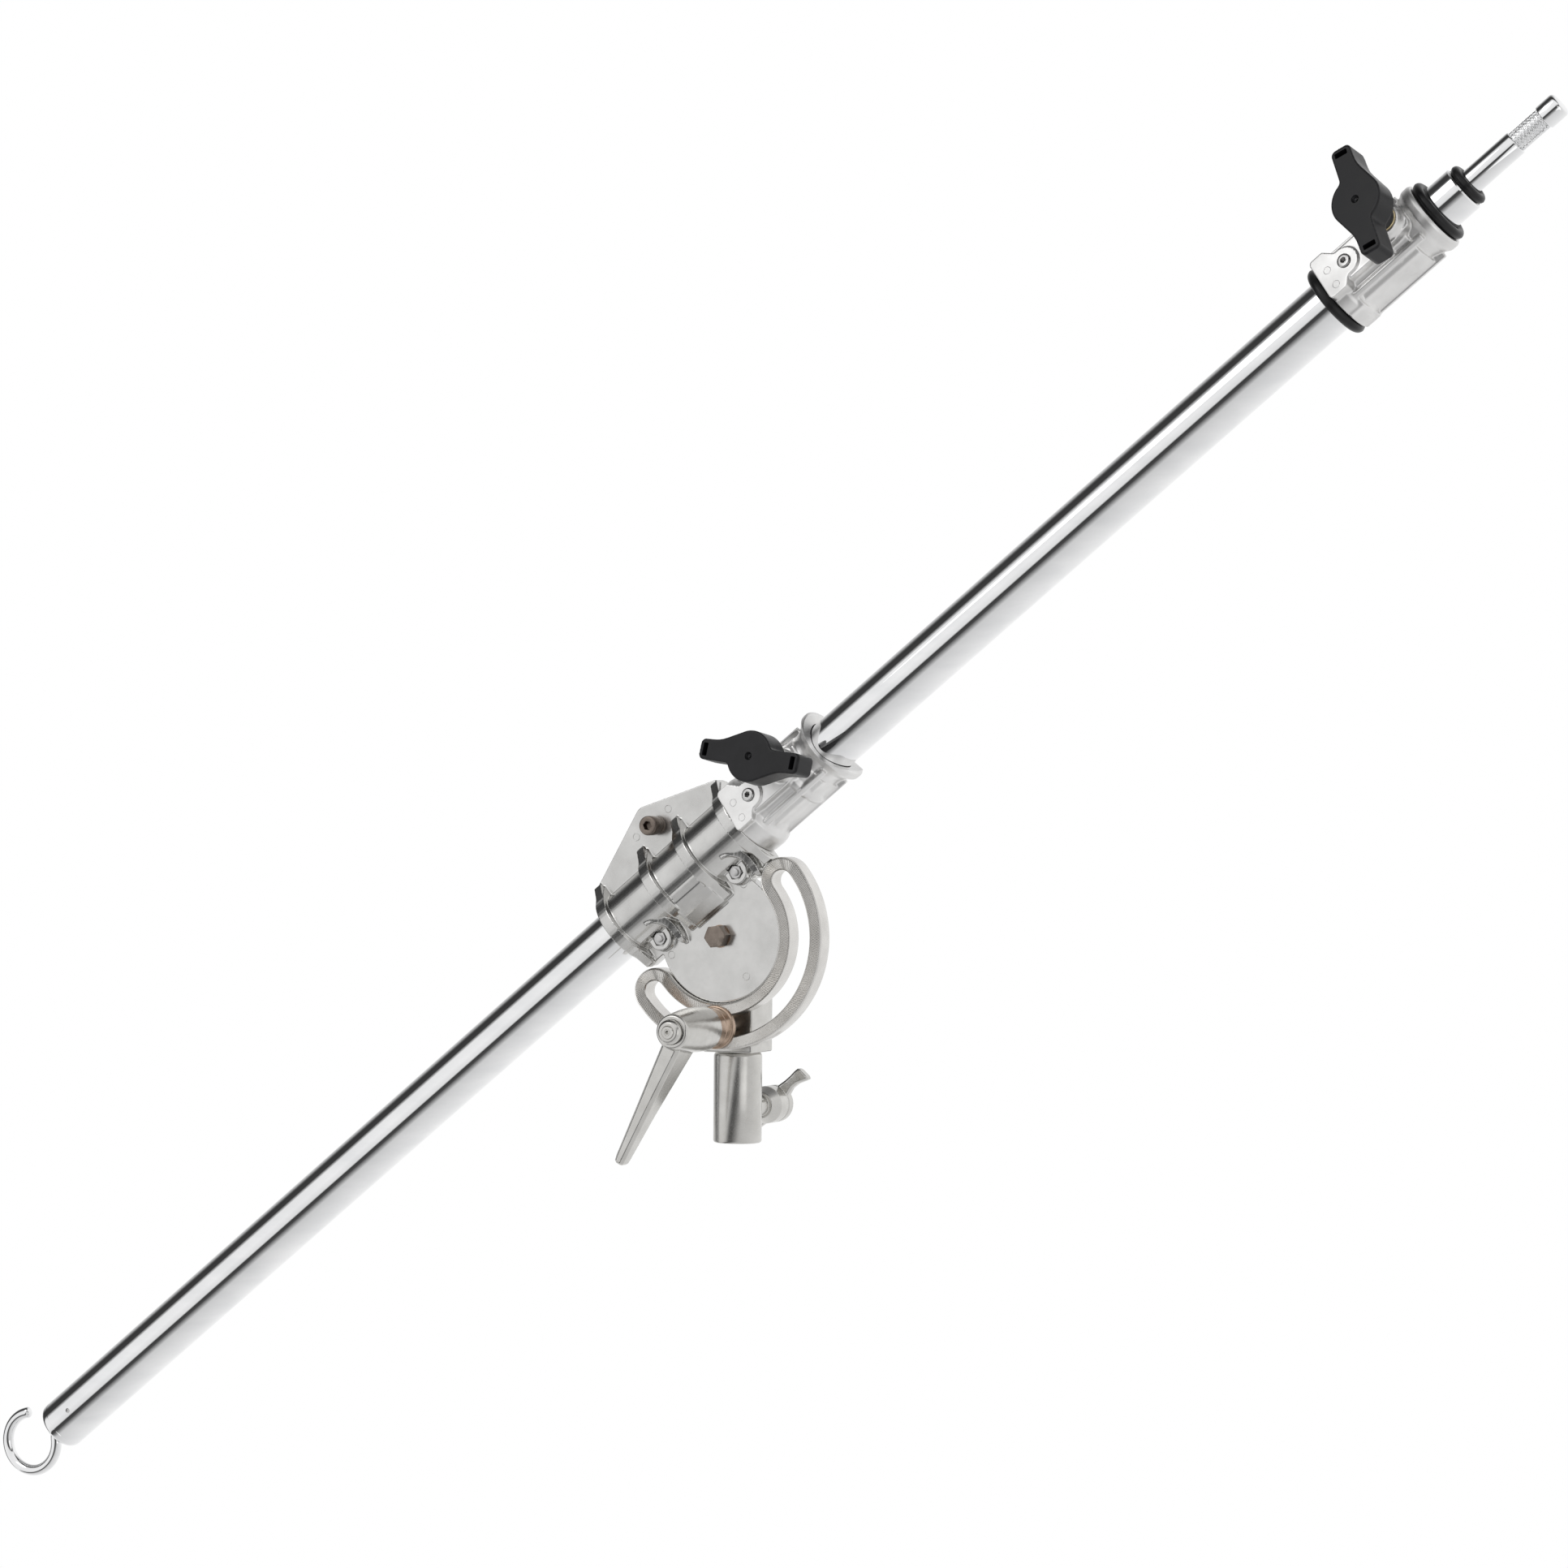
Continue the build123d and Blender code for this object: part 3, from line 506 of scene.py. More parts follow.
def make_room():
    """White room whose reflection has two dark flags, by the angle round the boom."""
    bpy.context.scene.view_settings.view_transform = "Standard"
    world = bpy.data.worlds.new("studio")
    world.use_nodes = True
    bpy.context.scene.world = world
    tree = world.node_tree
    backdrop = tree.nodes["Background"]
    spot = tree.nodes.new("ShaderNodeTexCoord")
    parts = []
    for axis in (UPWARD, FRONT):
        dot = tree.nodes.new("ShaderNodeVectorMath")
        dot.operation = "DOT_PRODUCT"
        dot.inputs[1].default_value = axis
        link(tree, spot.outputs["Generated"], dot.inputs[0])
        parts.append(dot.outputs["Value"])
    angle = tree.nodes.new("ShaderNodeMath")
    angle.operation = "ARCTAN2"
    link(tree, parts[0], angle.inputs[0])
    link(tree, parts[1], angle.inputs[1])
    turn_share = spread(tree, angle.outputs["Value"], 0.0, 1.0, -pi, pi)
    ramp = tree.nodes.new("ShaderNodeValToRGB")
    elements = ramp.color_ramp.elements
    for degree, value in SKY_BANDS[1:-1]:
        elements.new((degree + 180) / 360).color = (value, value, value * 1.005, 1)
    elements[0].color = (SKY_BANDS[0][1],) * 3 + (1,)
    elements[-1].color = (SKY_BANDS[-1][1],) * 3 + (1,)
    link(tree, turn_share, ramp.inputs["Fac"])
    path = tree.nodes.new("ShaderNodeLightPath")
    mix = tree.nodes.new("ShaderNodeMix")
    mix.data_type = "RGBA"
    link(tree, path.outputs["Is Camera Ray"], mix.inputs["Factor"])
    link(tree, ramp.outputs["Color"], mix.inputs["A"])
    mix.inputs["B"].default_value = (1, 1, 1, 1)
    link(tree, mix.outputs["Result"], backdrop.inputs["Color"])
    backdrop.inputs["Strength"].default_value = 1.0


def make_lights():
    for name, spot_at, size, power in (("key", (-1.2, -2.2, 1.9), 1.4, 9),
                                       ("fill", (2.0, -1.6, 0.2), 1.6, 4)):
        light = bpy.data.objects.new(name, bpy.data.lights.new(name, "AREA"))
        light.data.size = size
        light.data.energy = power
        light.location = spot_at
        light.rotation_euler = (-Vector(spot_at)).to_track_quat("-Z", "Y").to_euler()
        bpy.context.scene.collection.objects.link(light)


def make_floor():
    bm = bmesh.new()
    bmesh.ops.create_circle(bm, cap_ends=True, segments=96, radius=9.0)
    floor = new_object("floor", bm)
    floor.location.z = -1.95
    floor.visible_glossy = False
    floor.visible_diffuse = False
    pale, tree, shader = node_material("pale_floor")
    shader.inputs["Roughness"].default_value = 0.85
    cloud = place_texture(tree, "ShaderNodeTexNoise", 3, 3)
    shade = tint(tree, cloud.outputs["Fac"], (0.87, 0.87, 0.87), (0.89, 0.89, 0.89))
    link(tree, shade, shader.inputs["Base Color"])
    shader.inputs["Emission Color"].default_value = (1, 1, 1, 1)
    shader.inputs["Emission Strength"].default_value = 0.38
    floor.data.materials.append(pale)


place_camera()
make_room()
make_lights()
make_floor()


# ======== tubes, pin and hook
def turned(name, base, at, outline, body, slot, replaces, steps=96):
    finish_piece(solid(name, turning(at, outline, steps)), base, body, slot, replaces)


def dome(radius, corner, height, count):
    """Rounded shoulder points from an end face at a height down the side."""
    turns = [radians(90 * k / count) for k in range(count + 1)]
    return [(radius - corner + corner * sin(a), height + corner - corner * cos(a)) for a in turns]


def make_outer_tube():
    bore_r, rivet_hole = TUBE_R - WALL, arc((0, 0), 1.75, 0, 348, 29)
    outline = [(bore_r, PLUG_SEAM), (TUBE_R - 0.25, PLUG_SEAM), (TUBE_R, PLUG_SEAM + 0.25), (TUBE_R, -612.0),
               (TUBE_R, -601.0), (TUBE_R, -300), (TUBE_R, 0), (TUBE_R, 300), (TUBE_R, TUBE_END - 0.5),
               (TUBE_R - 0.5, TUBE_END), (bore_r, TUBE_END)]
    piece = solid("boom_outer_tube", turning(across(0), outline, 160))
    for low, high in ((12, 19), (-19, -12)):
        cut(piece, block(facing(RIVET_STATION, 0), rivet_hole, low, high))
    keep_round(piece, TUBE_R)
    finish_piece(piece, HEAD, "boom_tube", "chrome_tube", ("outer_tube",))


def keep_round(piece, radius):
    """Mark the edges between the round face and everything else sharp, so that its shading stays round."""
    mesh = piece.data
    for edge in mesh.edges:
        ends = [mesh.vertices[v].co for v in edge.vertices]
        off = [abs(Vector((0, end.y - TUBE_OFFSET, end.z)).length - radius) for end in ends]
        edge.use_edge_sharp = max(off) > 0.05


def make_end_plug():
    plug_r, plug_end = TUBE_R - 1.6, PLUG_START + 31
    outline = [(0, PLUG_START), *dome(TUBE_R, 4.2, PLUG_START, 8), (TUBE_R, PLUG_SEAM - 0.3),
               (TUBE_R - 0.3, PLUG_SEAM), (plug_r, PLUG_SEAM), (plug_r, plug_end), (0, plug_end)]
    piece = solid("boom_end_plug", turning(across(0), outline, 128))
    hook_hole = [(0, -1), (5.2, -1), (5.2, 0), (3.9, 2.2), (3.9, 21), (0, 21)]
    cut(piece, turning(across(PLUG_START), hook_hole, 48))
    finish_piece(piece, HEAD, "boom_tube", "chrome_tube", ("end_plug",))


def make_hook():
    """Straight shank, a short neck bend and a big open eye, in the boom's plane."""
    rod_r, eye_r, join = 3.8, 20.5, radians(-31)
    eye = Vector((-656, TUBE_OFFSET + 5.6))
    bend = 90 + degrees(join)
    neck_r = (TUBE_OFFSET - eye.y - eye_r * sin(join)) / (1 - cos(radians(bend)))
    neck = Vector((eye.x + eye_r * cos(join) + neck_r * sin(radians(bend)), TUBE_OFFSET - neck_r))
    path = [Vector((PLUG_START + 21, TUBE_OFFSET)), Vector((PLUG_START + 8, TUBE_OFFSET))]
    path += arc(neck, neck_r, 90, bend, 14)
    path += arc(eye, eye_r, degrees(join), -268, 72)[1:]
    piece = solid("counterweight_hook", lambda bm: rod(bm, ROOT, path, rod_r, 40))
    finish_piece(piece, HEAD, "boom_tube", "chrome_tube", ("balance_hook",))


def make_inner_tube():
    bore_r, socket_r, socket_start = INNER_R - WALL, 13.4, INNER_END - 45
    tube = [(bore_r, -220), (INNER_R, -220), (INNER_R, 300), (INNER_R, INNER_END - 0.9),
            (INNER_R - 0.9, INNER_END), (bore_r, INNER_END)]
    turned("boom_inner_tube", HEAD, across(0), tube, "extension", "chrome_tube", ("inner_tube",), 160)
    seat_r = PIN_R + 0.05
    socket = [(seat_r, socket_start), (socket_r, socket_start), (socket_r, INNER_END - 0.6),
              (12.6, INNER_END + 0.1), (8.6, INNER_END + 0.1), (seat_r, INNER_END - 0.6)]
    turned("light_pin_socket", HEAD, across(0), socket, "extension", "cast_aluminium", ("pin_socket",))


def make_light_pin():
    """Pin with a diamond-knurled neck and a domed cap."""
    starts, rows, round_steps = 16, 92, 192
    low, high, root_r, depth, pitch, steepness = PIN_SHOULDER, PIN_CAP, 5.7, 1.2, 2.6, 2.9
    smooth = [(0, INNER_END - 45), (PIN_R, INNER_END - 45), (PIN_R, INNER_END), (PIN_R, low - 1.0),
              (7.7, low - 0.3), (7.0, low), (root_r, low)]
    knurled = [(None, low + (high - low) * (k + 0.5) / rows) for k in range(rows)]
    cap = [(root_r, high), (7.2, high), (7.8, high + 0.25), (PIN_R, high + 0.8), (PIN_R, PIN_END - 2.2),
           (7.75, PIN_END - 1.2), (7.1, PIN_END - 0.45), (6.2, PIN_END), (0, PIN_END)]

    def knurl(share, height):
        """Radius where two sets of ridges cross, at a share of the turn."""
        waves = [(starts * share + side * (height - low) / pitch) % 1 for side in (1, -1)]
        return root_r + depth * max(1 - min(1.0, steepness * min(w, 1 - w)) for w in waves)
    bm = bmesh.new()
    at = across(0)
    rings = []
    for radius, height in smooth + knurled + cap:
        if radius == 0:
            rings.append([bm.verts.new(at @ Vector((0, 0, height)))])
            continue
        ring = []
        for k in range(round_steps):
            a = 2 * pi * k / round_steps
            r = knurl(a / (2 * pi), height) if radius is None else radius
            ring.append(bm.verts.new(at @ Vector((r * cos(a), r * sin(a), height))))
        rings.append(ring)
    skin(bm, rings, ring_closed=True)
    piece = new_object("light_stud", bm)
    finish_piece(piece, HEAD, "extension", "chrome_tube", ("light_pin",), sharp=50)


def make_rings():
    """Rubber rings, each with a mould line round the outside."""
    steps, mould_line = 40, 0.12
    for name, station, major, minor, body, node in (
            ("lower_rubber_ring", COLLAR_START - 3.55, TUBE_R + 3.55, 3.5, "boom_tube", "lower_bump_ring"),
            ("upper_rubber_ring", COLLAR_END + 3.05, INNER_R + 3.6, 3.0, "boom_tube", "upper_bump_ring"),
            ("pin_rubber_ring", INNER_END + 2.9, 11.2, 2.9, "extension", "pin_ring")):
        section = []
        for k in range(steps):
            a = 2 * pi * k / steps
            reach = minor + (mould_line if k == 0 else 0.0)
            section.append((major + reach * cos(a), minor * sin(a)))
        piece = solid(name, turning(across(station), section, 144))
        finish_piece(piece, HEAD, body, "rubber", (node,), sharp=60)


make_outer_tube()
make_end_plug()
make_hook()
make_inner_tube()
make_light_pin()
make_rings()


# ======== head castings
def half_round(side, radius, low, high, edge):
    """Half of a barrel about the boom's axis, in front (1) or behind (-1)."""
    steps = [radians(5 * k) for k in range(1, 36)]
    bow = [Vector((side * max(radius * sin(a), edge), radius * cos(a))) for a in steps]
    outline = [Vector((side * edge, radius)), *bow, Vector((side * edge, -radius))]
    return block(across(low), outline, 0, high - low)


def rib(station, side, foot, foot_w, edge_w=5.5, edge=32.8, thick=RIB_T):
    """Bow over the barrel that runs out straight to the flange and to its foot."""
    base = 4.0
    bow = [Vector((side * RIB_R * cos(radians(a)), RIB_R * sin(radians(a)))) for a in range(-54, 55, 6)]
    flange_end = [Vector((-side * base, -edge)), Vector((side * edge_w, -edge))]
    foot_end = [Vector((side * foot_w, foot - 1.5)), Vector((side * (foot_w - 1.5), foot)),
                Vector((-side * base, foot))]
    return block(across(station - thick / 2), flange_end + bow + foot_end, 0, thick)


def plate(low, high):
    """Flange past the barrel and the round disc."""
    flange = rounded([(BARREL_START, 16.2, 1), (BARREL_END, 16.2, 1), (BARREL_END, 82, 3), (5, 103, 8),
                      (BARREL_START, 80, 3)])

    def make(bm):
        prism(bm, ROOT, flange, low, high)
        prism(bm, ROOT, arc((0, 0), DISC_R, 0, 357, 119), low, high)
    return make


def crescent(point):
    """Wall curved round a boss, falling from the barrel to a tongue on the disc."""
    reach, width, foot = 12.9, 5.0, -4
    path = arc(point, reach, 84, -90, 9)
    for drift, drop in ((0.1, 5), (0.6, 8.6), (1.1, 11), (1.4, 12.2)):
        path.append(Vector((point[0] + reach - drift, point[1] - drop)))
    heights = (19.4, 19.2, 18.8, 18.0, 17.0, 15.9, 14.9, 14.0, 13.2, 12.6, 11.8, 10.6, 9.2, 7.4)
    widths = [width] * 11 + [0.86 * width, 0.66 * width, 0.34 * width]
    sections = []
    for k, (here, high, wide) in enumerate(zip(path, heights, widths)):
        ahead = (path[min(k + 1, len(path) - 1)] - path[max(k - 1, 0)]).normalized()
        side = Vector((-ahead.y, ahead.x)) * wide / 2
        corners = ((here - side, foot), (here + side, foot), (here + side, high), (here - side, high))
        sections.append([(*corner, height) for corner, height in corners])
    return lambda bm: loft(bm, ROOT, sections)


def gusset():
    """Web between the two middle ribs, from the barrel down to the disc."""
    outline = [(-4, 12), (-4, 34.0), (3.0, 34.2), (7.4, 33.0), (14, 25.5), (19.6, 16), (20.6, 10)]
    return block(across(-8.5), outline, 0, 27)


def post(point, radius, low, high, steps=48):
    return cylinder(on_head(point), radius, low, high, steps)


def slab(low, high):
    return block(ROOT, box_outline(0, 0, 400, 400, 1), low, high)


def bore_castings(piece):
    """The boom's bore and the pivot's hole."""
    cut(piece, cylinder(across(0), LINER_R, BARREL_START - 2, BARREL_END + 2, 128),
        cylinder(ROOT, 7.5, -20, 12, 64))


def make_front_casting():
    parts = [plate(-4, DISC_TOP), half_round(1, BARREL_R, BARREL_START, BARREL_END, -4)]
    for station in RIB_STATIONS:
        parts.append(rib(station, 1, 32.2, 8.6))
        parts.append(rib(station, 1, 30.0, 4.0, edge_w=2.5, edge=31, thick=8.0))
    for x, y in BOSS_POINTS:
        parts.append(crescent((x, y)))
        parts.append(post((x, y), 7.9, -4, 9.5))
        parts.append(block(on_head((x, y + 6)), box_outline(0, 0, 15.8, 12, 1), -4, 9.5))
    parts.append(gusset())
    piece = solid("head_front_casting", *parts)
    melt(piece, 0.42, 6)
    bore_castings(piece)
    for point in BOSS_POINTS:
        nut_seat = polygon(6, 9.5, radians(20))
        cut(piece, block(on_head(point), nut_seat, 6.2, 30), post(point, 2.5, -20, 20, 32))
    cut(piece, post(FLANGE_SCREW, 4.0, -20, 20), slab(-30, 0.05))
    thin_out(piece, 0.4)
    finish_piece(piece, HEAD, "head", "cast_aluminium", ("front_casting",), sharp=40)


def ring_mark(at):
    return lambda bm: torus(bm, at, 2.4, 0.26)


def make_ejector_marks():
    """Rings left by the mould's ejector pins, standing a hair proud."""
    spots = ((21.9, 89), (-8.2, 89), (34.7, 16.2), (-36, 12.2), (-1.2, -32.3))
    piece = solid("ejector_marks", *(ring_mark(on_head(spot, DISC_TOP - 0.1)) for spot in spots))
    finish_piece(piece, HEAD, "head", "cast_aluminium")


def make_rear_casting():
    parts = [plate(PLATE_BACK, 4), half_round(-1, BARREL_R, BARREL_START, BARREL_END, -4)]
    for station in RIB_STATIONS:
        parts.append(rib(station, -1, 24.0, 9.5, edge_w=10))
    piece = solid("head_rear_casting", *parts)
    melt(piece, 0.55, 5)
    bore_castings(piece)
    for point in BOSS_POINTS:
        cut(piece, post(point, 2.5, -30, 5, 32), post(point, 4.6, -30, -3))
    cut(piece, post(FLANGE_SCREW, 4.0, -20, 20), slab(-0.05, 30))
    thin_out(piece, 0.4)
    finish_piece(piece, HEAD, "head", "cast_aluminium", ("rear_casting",), sharp=40)


def sector_edge(slot_half, strip, tooth):
    """Points on the slot's edge with the direction of the band at each, all the way round."""
    loop = []
    for radius, start, sweep, side, end_x in ((SLOT_R - slot_half, 180, 180, 1, SLOT_R),
                                              (SLOT_R + slot_half, 360, -180, -1, -SLOT_R)):
        count = 2 * round(pi * (radius - side * strip) / tooth)
        for k in range(count):
            a = radians(start + sweep * k / count)
            out = Vector((cos(a), sin(a)))
            loop.append((out * radius, out * -side))
        count = 2 * round(pi * (slot_half + strip) / tooth)
        for k in range(count):
            a = radians(180 - 180 * k / count)
            out = Vector((cos(a), sin(a)))
            loop.append((Vector((end_x, 0)) + out * slot_half, out))
    return loop


def make_sector():
    """Half-round band swept round its slot, with slanted V serrations across both faces."""
    slot_half, width, half_t = 7.05, 8.35, 7.5
    tooth, depth, slant = 1.05, 0.42, 0.42
    inner, outer = 0.8, width - 1.35            # ends of the serrations across the band

    def lean_of(q):
        return slant * (min(max(q, inner), outer) - width / 2) if 0.5 < q < width - 1 else 0.0
    bm = bmesh.new()
    rings = []
    for k, (point, out) in enumerate(sector_edge(slot_half, width / 2, tooth)):
        dip = depth if k % 2 else 0.0
        face = [(0, half_t - 0.9), (0.35, half_t - 0.45), (inner, half_t - dip), (outer, half_t - dip),
                (width - 0.75, half_t - 0.5), (width - 0.1, half_t - 1.4), (width, half_t - 2.0)]
        section = face + [(q, -h) for q, h in reversed(face)]
        along = Vector((-out.y, out.x))
        spots = [(*(point + out * q + along * lean_of(q)), h) for q, h in section]
        rings.append([bm.verts.new(Vector(spot)) for spot in spots])
    skin(bm, rings, ring_closed=True)
    piece = new_object("tilt_sector", bm)
    finish_piece(piece, HEAD, "head", "machined_sector", ("serrated_sector",), sharp=24)


make_front_casting()
make_ejector_marks()
make_rear_casting()
make_sector()


# ======== fasteners
def hexagon_piece(name, base, at, flats, low, high, body, slot, replaces=(), turn=0.0, hole=0.0,
                  both=False):
    """Hexagon whose corners are trimmed round at the top, or at both ends, with a hole for its thread."""
    crown = 0.8
    corner = flats / 2 / cos(pi / 6)
    base_r = corner - crown if both else corner + 0.1
    rise = crown * 0.6
    trim = [(0, low), (base_r, low), (corner + 0.1, low + (rise if both else 0)),
            (corner + 0.1, high - rise), (corner - crown, high), (0, high)]
    piece = solid(name, block(at, polygon(6, flats, turn), low, high))
    combine(piece, "INTERSECT", turning(at, trim))
    if hole:
        cut(piece, cylinder(at, hole, low - 1, high + 1))
    soften_edges(piece, 0.18, 2, 25)
    finish_piece(piece, base, body, slot, replaces)


def cap_screw(name, at, head_r, low, high, key, shank, slot, replaces):
    """Socket head screw, its shank a (radius, end) pair."""
    shank_r, shank_end = shank
    outline = [(0, shank_end), (shank_r, shank_end), (shank_r, low), (head_r - 0.3, low), (head_r, low + 0.3),
               (head_r, high - 0.9), (head_r - 0.3, high - 0.3), (head_r - 0.9, high), (0, high)]
    piece = solid(name, turning(at, outline))
    cut(piece, block(at, polygon(6, key, radians(12)), high - (high - low) * 0.6, high + 2))
    soften_edges(piece, 0.15, 2, 30)
    finish_piece(piece, HEAD, "head", slot, replaces)


def make_pivot():
    front = placed((0, PIVOT.y, PIVOT.z), X, FRONT)
    hexagon_piece("tilt_pivot_bolt", ROOT, front, 13.5, DISC_TOP + 0.2, DISC_TOP + 8.4, "root",
                  "bronzed_steel", turn=radians(8))
    outline = [(0, -50), (4.4, -50), (5, -49.4), (5, DISC_TOP + 0.3), (0, DISC_TOP + 0.3)]
    turned("tilt_pivot_shank", ROOT, front, outline, "root", "bronzed_steel", ("pivot_bolt",), 64)
    rear = placed((0, 15, PIVOT.z), X, Y)
    hexagon_piece("tilt_pivot_nut", ROOT, rear, 16, 1.8, 9.8, "root", "zinc_steel", ("pivot_nut",),
                  turn=radians(12), hole=5.0, both=True)


def make_shell_screws():
    for index, point in enumerate(BOSS_POINTS):
        nuts, screws = (("shell_nuts",), ("shell_screws",)) if index == 0 else ((), ())
        hexagon_piece(f"shell_nut_{index + 1}", HEAD, on_head(point), 8.0, 6.5, 10.3, "head", "zinc_steel",
                      nuts, turn=radians(20), hole=2.45, both=True)
        behind = on_head(point) @ Matrix.Rotation(pi, 4, "X")
        cap_screw(f"shell_screw_{index + 1}", behind, 4.3, 3.1, 7.3, 3.4, (2.4, -11.7), "zinc_steel", screws)


def make_flange_screw():
    """Screw through the flanges, its head standing off on a spacer."""
    at, seat = on_head(FLANGE_SCREW), DISC_TOP + 4
    cap_screw("flange_cap_screw", at, 6.4, seat, seat + 8.4, 5.6, (3.95, -13.4), "bronzed_steel",
              ("flange_screw",))
    outline = [(4.0, DISC_TOP), (5.6, DISC_TOP), (5.8, DISC_TOP + 0.3), (5.8, seat - 0.3), (5.6, seat),
               (4.0, seat)]
    turned("flange_screw_spacer", HEAD, at, outline, "head", "bronzed_steel", ("flange_spacer",))


def make_set_screws():
    """Socket set screws in the collars' ears."""
    outline = [(0, TUBE_R + 1.3), (2.95, TUBE_R + 1.3), (2.95, 25.9), (4.4, 25.9), (4.55, 26.1), (4.3, 26.5),
               (3.6, 26.8), (2.8, 26.8), (0, 26.8)]
    for name, start, spin, body, node in (
            ("lower_set_screw", BARREL_END, LOWER_SPIN, "head", "lower_ear_screw"),
            ("top_set_screw", COLLAR_START, TOP_SPIN, "boom_tube", "top_ear_screw")):
        at = facing(start + EAR_SCREW, spin)
        piece = solid(name, turning(at, outline, 72))
        cut(piece, block(at, polygon(6, 3.7, radians(10)), 22.5, 28))
        finish_piece(piece, HEAD, body, "zinc_steel", (node,))


make_pivot()
make_shell_screws()
make_flange_screw()
make_set_screws()


# ======== clamp collars
LOWER_OUTLINE = ((24, 0), (26.6, 1.5), (26.8, 9), (26, 13), (22.6, 17), (21.2, 22), (21.2, 45), (23.2, 47),
                 (23.4, 50), (21.4, 53), (20.2, 58), (20.0, 66), (21.4, 70), (25.0, 74), (26.4, 75.6),
                 (26.6, 79), (25.6, LOWER_LENGTH))
TOP_OUTLINE = ((23.6, 0), (24.8, 1), (24.9, 8.5), (23.8, 11.5), (20.6, 15.5), (19.7, 20), (19.7, 41),
               (21.3, 43.0), (21.6, 46.5), (19.8, 49), (19.3, 60), (21.0, 66), (23.4, 70), (23.6, 74.6),
               (22.6, TOP_LENGTH))


def collar_parts(start, length, spin, screw, outline, keel_angles):
    """Makers of a cast collar: turned barrel with a faceted foot, flat housing, keels and screw boss."""
    base = across(start, spin)
    reach = screw - start
    facets = radians(22.5)

    def barrel(bm):
        lathe(bm, base, [(0, 0), *outline, (0, length)], 128)
        prism(bm, base, polygon(8, 2 * (outline[0][0] + 0.1), facets), 1.2, 12.5)
        prism(bm, base, polygon(8, 41.5, facets), 10, length - 18)

    def keels(bm):
        for angle in keel_angles:
            keel = [(15, -3.0), (24.2, -1.9), (24.2, 1.9), (15, 3.0)]
            prism(bm, base @ spun(radians(angle)), keel, 6, length * 0.86)
    housing = rounded([(1, -11.5, 3), (reach - 2, -11.5, 5), (reach + 11, -9, 4), (reach + 11, 9, 4),
                       (reach - 2, 11.5, 5), (1, 11.5, 3)])
    screw_boss = [(0, 8), (12.5, 8), (11, 22), (10, 26), (9.7, 30.2), (9.3, 30.5), (0, 30.5)]
    return [barrel, block(facing(start, spin), housing, 6, 23.4), keels,
            turning(facing(screw, spin), screw_boss)]


def ear_parts(start, spin):
    """Makers of a collar's flat ear and the boss round its set screw."""
    ear = rounded([(0.2, -15.5, 3), (13, -15.5, 2), (17.5, -9.6, 3), (29.4, -9.6, 9.4), (29.4, 9.6, 9.4),
                   (17.5, 9.6, 3), (11, 16.5, 2), (0.2, 16.5, 3)])
    boss = [(0, 6), (7.2, 6), (7.0, EAR_TOP + 0.3), (6.6, EAR_TOP + 0.6), (0, EAR_TOP + 0.6)]
    return [block(facing(start, spin), ear, 6, EAR_TOP), turning(facing(start + EAR_SCREW, spin), boss, 64)]


def make_collar(name, start, length, spin, screw, bore, outline, keel_angles, body, node):
    """Collar fused twice, so that the ear keeps its outline over the blended barrel."""
    piece = solid(name, *collar_parts(start, length, spin, screw, outline, keel_angles))
    melt(piece, 0.45, 1)
    cut(piece, block(facing(start, spin), box_outline(5, 0, 22, 60, 1), EAR_TOP - 2.5, 40))
    combine(piece, "UNION", *ear_parts(start, spin))
    melt(piece, 0.42, 6)
    screw_hole = [(0, 0), (5.6, 0), (5.6, 24), (4.1, 24), (4.1, 40), (0, 40)]
    cut(piece, cylinder(across(start), bore, -2, length + 2, 144),
        turning(facing(screw, spin), screw_hole, 64),
        cylinder(facing(start + EAR_SCREW, spin), 3.0, 5, 40))
    if body == "head":
        saddle = placed((start + length + 33, TUBE_OFFSET, -60), X, Z)
        cut(piece, cylinder(saddle, 40, 0, 120, 160))
    thin_out(piece, 0.45)
    finish_piece(piece, HEAD, body, "cast_aluminium", (node,), sharp=42, material=COLLAR_CAST)
    flat = facing(start + 8, spin)
    spots = [flat @ Matrix.Translation((0, y, EAR_TOP - 0.1)) for y in (-9.4, 3.0)]
    marks = solid(name + "_marks", *(ring_mark(spot) for spot in spots))
    finish_piece(marks, HEAD, body, "cast_aluminium", material=COLLAR_CAST)


make_collar("lower_clamp_collar", BARREL_END, LOWER_LENGTH, LOWER_SPIN, LOWER_SCREW, TUBE_R + 0.6,
            LOWER_OUTLINE, (52, 118, 180, 242, 308), "head", "lower_collar")
make_collar("top_clamp_collar", COLLAR_START, TOP_LENGTH, TOP_SPIN, TOP_SCREW, TUBE_R, TOP_OUTLINE,
            (50, 118, 180, 242, 310), "boom_tube", "top_collar")


